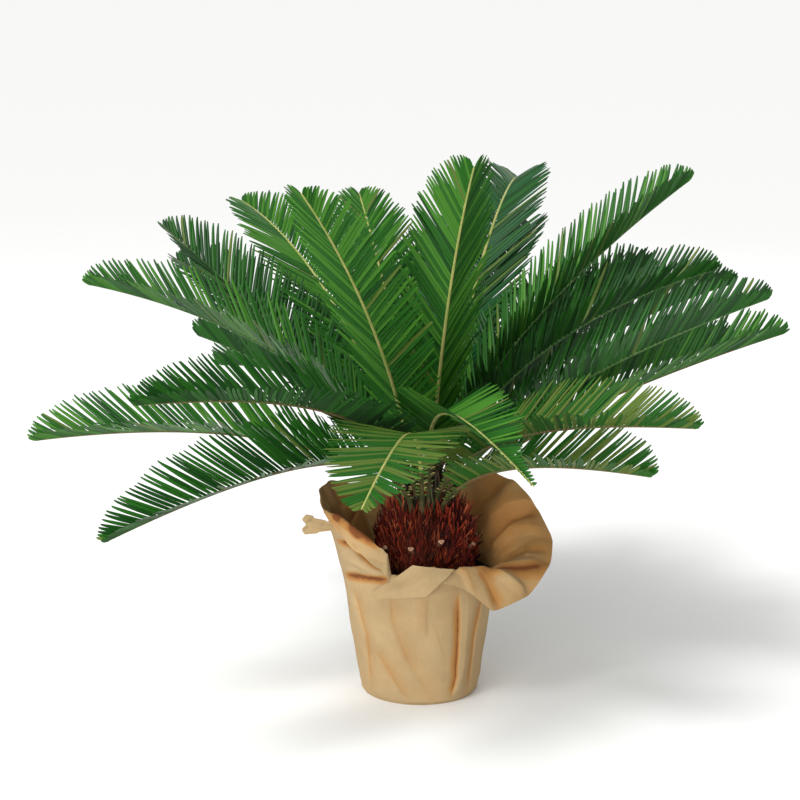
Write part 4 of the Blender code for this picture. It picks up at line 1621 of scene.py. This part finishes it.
    def flap(self, flap: Flap) -> None:
        """Builds a loose corner as a closed piece.

        Args:
            flap: The corner.
        """
        places = flap.grid()
        facing = np.cross(np.gradient(places, axis=1), np.gradient(places, axis=0)) * -1
        facing /= np.linalg.norm(facing, axis=2, keepdims=True)
        places = places + facing * (Facets().height(places) * self.flap_facets)[..., None]
        size = flap.steps + 1
        half = facing * self.thickness / 2
        points = np.concatenate([(places + half).reshape(-1, 3), (places - half).reshape(-1, 3)])
        rim = [(0, k) for k in range(size - 1)] + [(k, size - 1) for k in range(size - 1)]
        rim += [(size - 1, size - 1 - k) for k in range(size - 1)] + [
            (size - 1 - k, 0) for k in range(size - 1)
        ]
        edge = [row * size + column for row, column in rim]
        inner = size * size
        faces = []
        for row in range(size - 1):
            for column in range(size - 1):
                at = row * size + column
                faces.append((at, at + size, at + size + 1, at + 1))
                faces.append((inner + at, inner + at + 1, inner + at + size + 1, inner + at + size))
        for here, after in zip(edge, edge[1:] + edge[:1]):
            faces.append((here, after, inner + after, inner + here))
        mesh = new_mesh(flap.name, points, faces, (KRAFT,))
        mesh.set_sharp_from_angle(angle=math.radians(self.sharp_angle))
        self.map_sheet(mesh)
        hand_over(new_object(flap.name, mesh), Slot.BRIM, "paper_brim")

    def shell(
        self,
        name: str,
        rows: Sequence[np.ndarray],
        wear: Sequence[np.ndarray],
        ends: Sequence[Vector],
        slot: Slot,
        node: str,
    ) -> None:
        """Builds one closed piece of paper from rings of points.

        Args:
            name: The piece's name.
            rows: The rings, in order over the outer side and back over the inner side.
            wear: The pale rubbed lines and the painted shade at each point of them.
            ends: The points that close the first and the last ring. Without them those two rings are joined.
            slot: The material slot.
            node: The CAD node that the piece replaces.
        """
        points = [Vector(p) for row in rows for p in row] + list(ends)
        tint = np.concatenate([np.concatenate(wear), np.zeros(len(ends))])
        faces: list[tuple[int, ...]] = []
        count, sides = len(rows), self.sides
        for side in range(sides):
            after = (side + 1) % sides
            for row in range(count if not ends else count - 1):
                here, there = row * sides, (row + 1) % count * sides
                faces.append((here + side, here + after, there + after, there + side))
            if ends:
                last = (count - 1) * sides
                faces += [(count * sides, after, side), (last + side, last + after, count * sides + 1)]
        mesh = new_mesh(name, points, faces, (KRAFT,))
        mesh.set_sharp_from_angle(angle=math.radians(self.sharp_angle))
        # Stores the pale rubbed lines and the painted shade for the paper's finish.
        mesh.attributes.new(self.WEAR_AND_SHADE, "FLOAT", "POINT").data.foreach_set("value", tint.astype(np.float32))
        self.map_sheet(mesh)
        hand_over(new_object(name, mesh), slot, node)

    def map_sheet(self, mesh: bpy.types.Mesh) -> None:
        """Lays a map in metres on the sheet: round the pot, and up.

        Args:
            mesh: The sheet.
        """
        layer = mesh.uv_layers.new(name=self.UV_NAME)
        co = np.zeros(len(mesh.vertices) * 3)
        mesh.vertices.foreach_get("co", co)
        co = co.reshape(-1, 3)
        corner = np.zeros(len(mesh.loops), np.int32)
        mesh.loops.foreach_get("vertex_index", corner)
        around = np.arctan2(co[:, 0], -co[:, 1])[corner]
        first, total = (np.zeros(len(mesh.polygons), np.int32) for _ in range(2))
        mesh.polygons.foreach_get("loop_start", first)
        mesh.polygons.foreach_get("loop_total", total)
        start = around[np.repeat(first, total)]
        around = start + (around - start + math.pi) % (2 * math.pi) - math.pi
        layer.data.foreach_set(
            "uv", np.stack([around * self.map_radius, co[corner, 2]], axis=1).ravel().astype(np.float32),
        )


@dataclass(frozen=True)
class Stub:
    """What is left of a cut leaf stalk: its bearing in degrees, its height, and how far it stands out."""

    bearing: float
    up: float
    out: float = 0.007


STUBS = (
    Stub(-17, 0.171, 0.009), Stub(17, 0.179, 0.008), Stub(64, 0.169, 0.008),
    Stub(-52, 0.168), Stub(-88, 0.182), Stub(-120, 0.163), Stub(-150, 0.180), Stub(176, 0.165),
    Stub(146, 0.184), Stub(118, 0.160), Stub(95, 0.172),
)


@dataclass
class Bulb:
    """The swollen stem: a knobbly core, a coat of upright fibres, and the stubs of cut leaf stalks."""

    centre_x: float = 0.007
    radius: float = 0.055
    top: float = 0.222
    waist: float = 0.155
    tuck: float = 0.007
    dome: float = 2.4
    foot: float = 0.1183
    sides: int = 120
    rows: int = 60
    leaf_bases: int = 46
    base_height: float = 0.0034
    base_width: float = 0.0085
    coat: float = 0.0028
    heart_radius: float = 0.030
    heart_drop: float = 0.010
    heart_sunk: float = 0.001
    stub_sides: int = 14
    stub_rings: tuple[tuple[float, float], ...] = (
        (0.0, 1.25), (0.45, 1.1), (0.8, 1.0), (0.97, 0.96), (1.0, 0.86),
    )
    stub_root: float = 0.005
    stub_half: tuple[float, float] = (0.0037, 0.0026)
    stub_sag: float = 0.3
    stub_pit: tuple[float, float] = (0.0046, 0.0004)

    def reach(self, up: float) -> float:
        """The core's radius at a height, without its knobs.

        Args:
            up: The height.

        Returns:
            The radius.
        """
        if up < self.waist:
            return self.radius - self.tuck * ((self.waist - up) / (self.waist - self.foot)) ** 2
        share = (up - self.waist) / (self.top - self.waist)
        return self.radius * math.sqrt(max(0.0, 1 - share**self.dome))

    def knobs(self) -> list[tuple[float, float]]:
        """Where the old leaf bases stand, as bearing and height, in a golden-angle spiral."""
        low, high = self.foot + 0.006, self.top - 0.032
        turn = math.radians(137.508)
        count = self.leaf_bases
        return [((k * turn) % (2 * math.pi), low + (high - low) * k / (count - 1)) for k in range(count)]

    def core_mesh(self) -> bpy.types.Mesh:
        """The core, with a flat foot on the soil."""
        knobs = self.knobs()
        points = [Vector((self.centre_x, 0.0, self.foot))]
        for row in range(self.rows):
            share = row / self.rows
            up = self.foot + (self.top - self.foot) * (0.55 * math.sin(math.pi / 2 * share) + 0.45 * share)
            for side in range(self.sides):
                bearing = 2 * math.pi * side / self.sides
                rise = 0.0
                for at, height in knobs:
                    turn = (bearing - at + math.pi) % (2 * math.pi) - math.pi
                    apart = math.hypot(turn * self.radius, up - height) / self.base_width
                    rise = max(rise, 1 - apart * apart)
                rough = 0.0006 * noise.noise(turned(bearing, 0.05, up) * 160)
                out = self.reach(up) - self.coat + self.base_height * rise + rough
                points.append(turned(bearing, max(0.001, out), up, self.centre_x))
        points.append(Vector((self.centre_x, 0.0, self.top)))
        faces: list[tuple[int, ...]] = []
        for side in range(self.sides):
            after = (side + 1) % self.sides
            faces.append((0, 1 + after, 1 + side))
            for row in range(self.rows - 1):
                low, high = 1 + row * self.sides, 1 + (row + 1) * self.sides
                faces.append((low + side, low + after, high + after, high + side))
            last = 1 + (self.rows - 1) * self.sides
            faces.append((last + side, last + after, len(points) - 1))
        return new_mesh("bulb_core", points, faces, (BULB_CORE,))

    def heart_mesh(self) -> bpy.types.Mesh:
        """The small dome on the bulb's top, which the dry scale leaves among the petioles grow on."""
        rings, sides = 6, 24
        crown = self.top - self.heart_sunk
        points = [Vector((self.centre_x, 0.0, crown))]
        for ring in range(1, rings + 1):
            out = self.heart_radius * ring / rings
            up = crown - self.heart_drop * (ring / rings) ** 2
            points += [turned(2 * math.pi * s / sides, out, up, self.centre_x) for s in range(sides)]
        faces: list[tuple[int, ...]] = [(0, 1 + s, 1 + (s + 1) % sides) for s in range(sides)]
        for ring in range(rings - 1):
            low, high = 1 + ring * sides, 1 + (ring + 1) * sides
            faces += [
                (low + s, high + s, high + (s + 1) % sides, low + (s + 1) % sides) for s in range(sides)
            ]
        return new_mesh("heart", points, faces, (BULB_CORE,))

    def stub_mesh(self, stub: Stub, name: str) -> bpy.types.Mesh:
        """One stub: a short stalk, broad and low, with a pale cut end.

        Args:
            stub: Its place.
            name: The mesh's name.

        Returns:
            The mesh.
        """
        bearing = math.radians(stub.bearing)
        out = turned(bearing, 1.0, 0.0)
        across = Vector((math.cos(bearing), math.sin(bearing), 0.0))
        ahead = (out * 0.8 + Vector((0, 0, 0.6))).normalized()
        up = ahead.cross(across) * -1
        root = turned(bearing, self.reach(stub.up) - self.stub_root, stub.up, self.centre_x)
        sides = self.stub_sides
        points: list[Vector] = []
        for share, size in self.stub_rings:
            centre = root + ahead * (self.stub_root + stub.out) * share
            for side in range(sides):
                turn = 2 * math.pi * side / sides
                ragged = size * (
                    1 + 0.25 * noise.noise(Vector((stub.bearing, math.cos(turn), math.sin(turn))))
                )
                wide = self.stub_half[0] * ragged * math.cos(turn)
                deep = self.stub_half[1] * ragged * math.sin(turn)
                points.append(centre + across * wide + up * (deep - self.stub_sag * abs(wide)))
        points.append(root + ahead * (self.stub_pit[0] + stub.out) - up * self.stub_pit[1])
        faces: list[tuple[int, ...]] = [tuple(reversed(range(sides)))]
        rings = len(self.stub_rings)
        for ring in range(rings - 1):
            low, high = ring * sides, (ring + 1) * sides
            faces += [
                (low + s, low + (s + 1) % sides, high + (s + 1) % sides, high + s) for s in range(sides)
            ]
        last = (rings - 1) * sides
        faces += [(last + s, last + (s + 1) % sides, len(points) - 1) for s in range(sides)]
        cut = len(faces) - 2 * sides
        return new_mesh(name, points, faces, (STUB_SIDE, STUB_CUT), lambda face: int(face >= cut))

    def build(self) -> None:
        """Builds the core, the stubs and the fibres."""
        core = self.core_mesh()
        hand_over(new_object("bulb_core", core), Slot.BULB, "bulb")
        tree = FibreTree()
        finishes = {
            "Fibre Dark": FIBRE_DARK.material(),
            "Fibre Red": FIBRE_RED.material(),
            "Fibre Tan": FIBRE_TAN.material(),
        }
        sizes = {
            "Spacing": 0.0018, "Density": 130000.0, "Length": 0.0065, "Growth": 0.07, "Foot": self.foot,
            "Width": 0.0019, "Flatness": 0.4, "Stand": 2.2, "Mess": 0.95, "Seed": SEED,
        }
        coat = tree.grow("bulb_fibres", core.copy(), sizes | finishes)
        hand_over(coat, Slot.BULB, "bulb")
        long = {
            "Spacing": 0.0036,
            "Length": 0.0075,
            "Growth": 0.17,
            "Width": 0.0015,
            "Mess": 1.1,
            "Seed": SEED + 20,
        }
        needles = tree.grow("bulb_needles", core.copy(), sizes | long | finishes)
        hand_over(needles, Slot.BULB, "bulb")
        felt = dict(zip(finishes, (FELT_DARK.material(), FELT_BROWN.material(), FELT_OLIVE.material())))
        tall = {
            "Spacing": 0.0030,
            "Length": 0.040,
            "Growth": 0.0,
            "Width": 0.0034,
            "Stand": 2.6,
            "Mess": 0.8,
        }
        heart = tree.grow("crown_heart", self.heart_mesh(), sizes | tall | felt)
        hand_over(heart, Slot.BULB, "bulb")
        for index, stub in enumerate(STUBS, start=1):
            name = f"leaf_stub_{index}"
            hand_over(new_object(name, self.stub_mesh(stub, name)), Slot.BULB, "bulb")


@dataclass
class Soil:
    """The potting soil in the pot, with a rough top."""

    top: float = 0.118
    rings: int = 36
    sides: int = 120
    foot_share: float = 0.74
    bend_share: float = 0.78
    bend_up: float = 0.006
    edge_share: float = 0.995
    edge_drop: float = 0.002
    middle_drop: float = 0.001
    lumps: tuple[tuple[float, float], ...] = ((0.0016, 90.0), (0.0010, 260.0))
    settled: float = 0.0012

    def build(self) -> None:
        """Builds the soil as one closed piece, from its foot in the pot to its rough top."""
        low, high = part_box("soil")
        radius = high.x
        foot = low.z
        points = [Vector((0, 0, foot))]
        profile = [
            (radius * self.foot_share, foot),
            (radius * self.bend_share, foot + self.bend_up),
            (radius * self.edge_share, self.top - self.edge_drop),
        ]
        profile += [(radius * (1 - ring / self.rings), self.top) for ring in range(self.rings)]
        for out, up in profile:
            for side in range(self.sides):
                place = turned(2 * math.pi * side / self.sides, out, up)
                if up == self.top:
                    rise = sum(size * noise.noise(place * pace) for size, pace in self.lumps)
                    place.z += rise - self.settled
                points.append(place)
        points.append(Vector((0, 0, self.top - self.middle_drop)))
        faces: list[tuple[int, ...]] = []
        for side in range(self.sides):
            after = (side + 1) % self.sides
            faces.append((0, 1 + after, 1 + side))
            for row in range(len(profile) - 1):
                start, end = 1 + row * self.sides, 1 + (row + 1) * self.sides
                faces.append((start + side, start + after, end + after, end + side))
            last = 1 + (len(profile) - 1) * self.sides
            faces.append((last + side, last + after, len(points) - 1))
        mesh = new_mesh("soil_plug", points, faces, (POTTING_SOIL,))
        hand_over(new_object("soil_plug", mesh), Slot.SOIL, "soil")


class Pot:
    """The nursery pot, which keeps its CAD shape under the paper."""

    def dress(self) -> None:
        """Lays black plastic on the pot."""
        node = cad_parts["nursery_pot"]
        node.data.materials.clear()
        node.data.materials.append(BLACK_PLASTIC.material())
        LOG.info("nursery_pot: dressed")


@dataclass(frozen=True)
class SoftBox:
    """A large soft light that points at the plant."""

    name: str
    place: tuple[float, float, float]
    side: float
    power: float


@dataclass
class Studio:
    """A plain pale floor, soft light all round, and a camera at the photograph's angle."""

    eye: tuple[float, float, float] = (-0.0223, -2.26, 0.80)
    pitch: float = 78.4
    lens: float = 92.8
    sensor: float = 36.0
    floor_half: float = 200.0
    sky: float = 0.54
    sun_power: float = 2.35
    sun_spread: float = 18.0
    sun_from: tuple[float, float, float] = (-0.55, -0.75, 1.25)
    look_at: tuple[float, float, float] = (0.0, 0.0, 0.30)
    boxes: tuple[SoftBox, ...] = (
        SoftBox("key_light", (-1.5, -2.3, 2.7), 1.3, 26.0),
        SoftBox("fill_light", (-0.9, -2.3, 0.5), 1.2, 34.0),
        SoftBox("back_light", (0.6, 2.4, 2.4), 1.6, 16.0),
    )

    def build(self) -> None:
        """Builds the floor, the lights, the sky and the camera."""
        half = self.floor_half
        corners = [(-half, -half, 0.0), (half, -half, 0.0), (half, half, 0.0), (-half, half, 0.0)]
        mesh = new_mesh("studio_floor", corners, [(0, 1, 2, 3)], (PALE_FLOOR,))
        floor = new_object("studio_floor", mesh)
        for box in self.boxes:
            light = bpy.data.lights.new(box.name, "AREA")
            light.shape = "SQUARE"
            light.size = box.side
            light.energy = box.power
            self.aimed(light, box.place, self.look_at)
        sun = bpy.data.lights.new("high_window", "SUN")
        sun.energy = self.sun_power
        sun.angle = math.radians(self.sun_spread)
        self.aimed(sun, self.sun_from, (0.0, 0.0, 0.0))
        self.build_sky()
        self.build_camera()

    def aimed(
        self,
        light: bpy.types.Light,
        place: tuple[float, float, float],
        target: tuple[float, float, float],
    ) -> None:
        """Hangs a light up and points it at something.

        Args:
            light: The light.
            place: Where it hangs.
            target: What it points at.
        """
        lamp = bpy.data.objects.new(light.name, light)
        lamp.location = place
        lamp.rotation_euler = (Vector(target) - Vector(place)).to_track_quat("-Z", "Y").to_euler()
        bpy.context.scene.collection.objects.link(lamp)

    def build_sky(self) -> None:
        """Builds the white sky, and shows its colours as they are."""
        world = bpy.data.worlds.new("studio")
        world.use_nodes = True
        white, strength = world.node_tree.nodes["Background"].inputs[:2]
        white.default_value = (1.0, 1.0, 1.0, 1.0)
        strength.default_value = self.sky
        bpy.context.scene.world = world
        bpy.context.scene.view_settings.view_transform = "Standard"

    def build_camera(self) -> None:
        """Builds the camera, where the photograph was taken from."""
        lens = bpy.data.cameras.new("camera")
        lens.lens = self.lens
        lens.sensor_width = self.sensor
        camera = bpy.data.objects.new("camera", lens)
        camera.location = self.eye
        camera.rotation_euler = (math.radians(self.pitch), 0.0, 0.0)
        bpy.context.scene.collection.objects.link(camera)
        bpy.context.scene.camera = camera


def main() -> None:
    """Builds every sub-assembly."""
    logging.basicConfig(level=logging.INFO, format="%(name)s: %(message)s")
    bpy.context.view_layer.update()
    Studio().build()
    Pot().dress()
    Soil().build()
    Bulb().build()
    KraftPaper().build()
    Rosette().build()


if __name__ == "__main__":
    main()
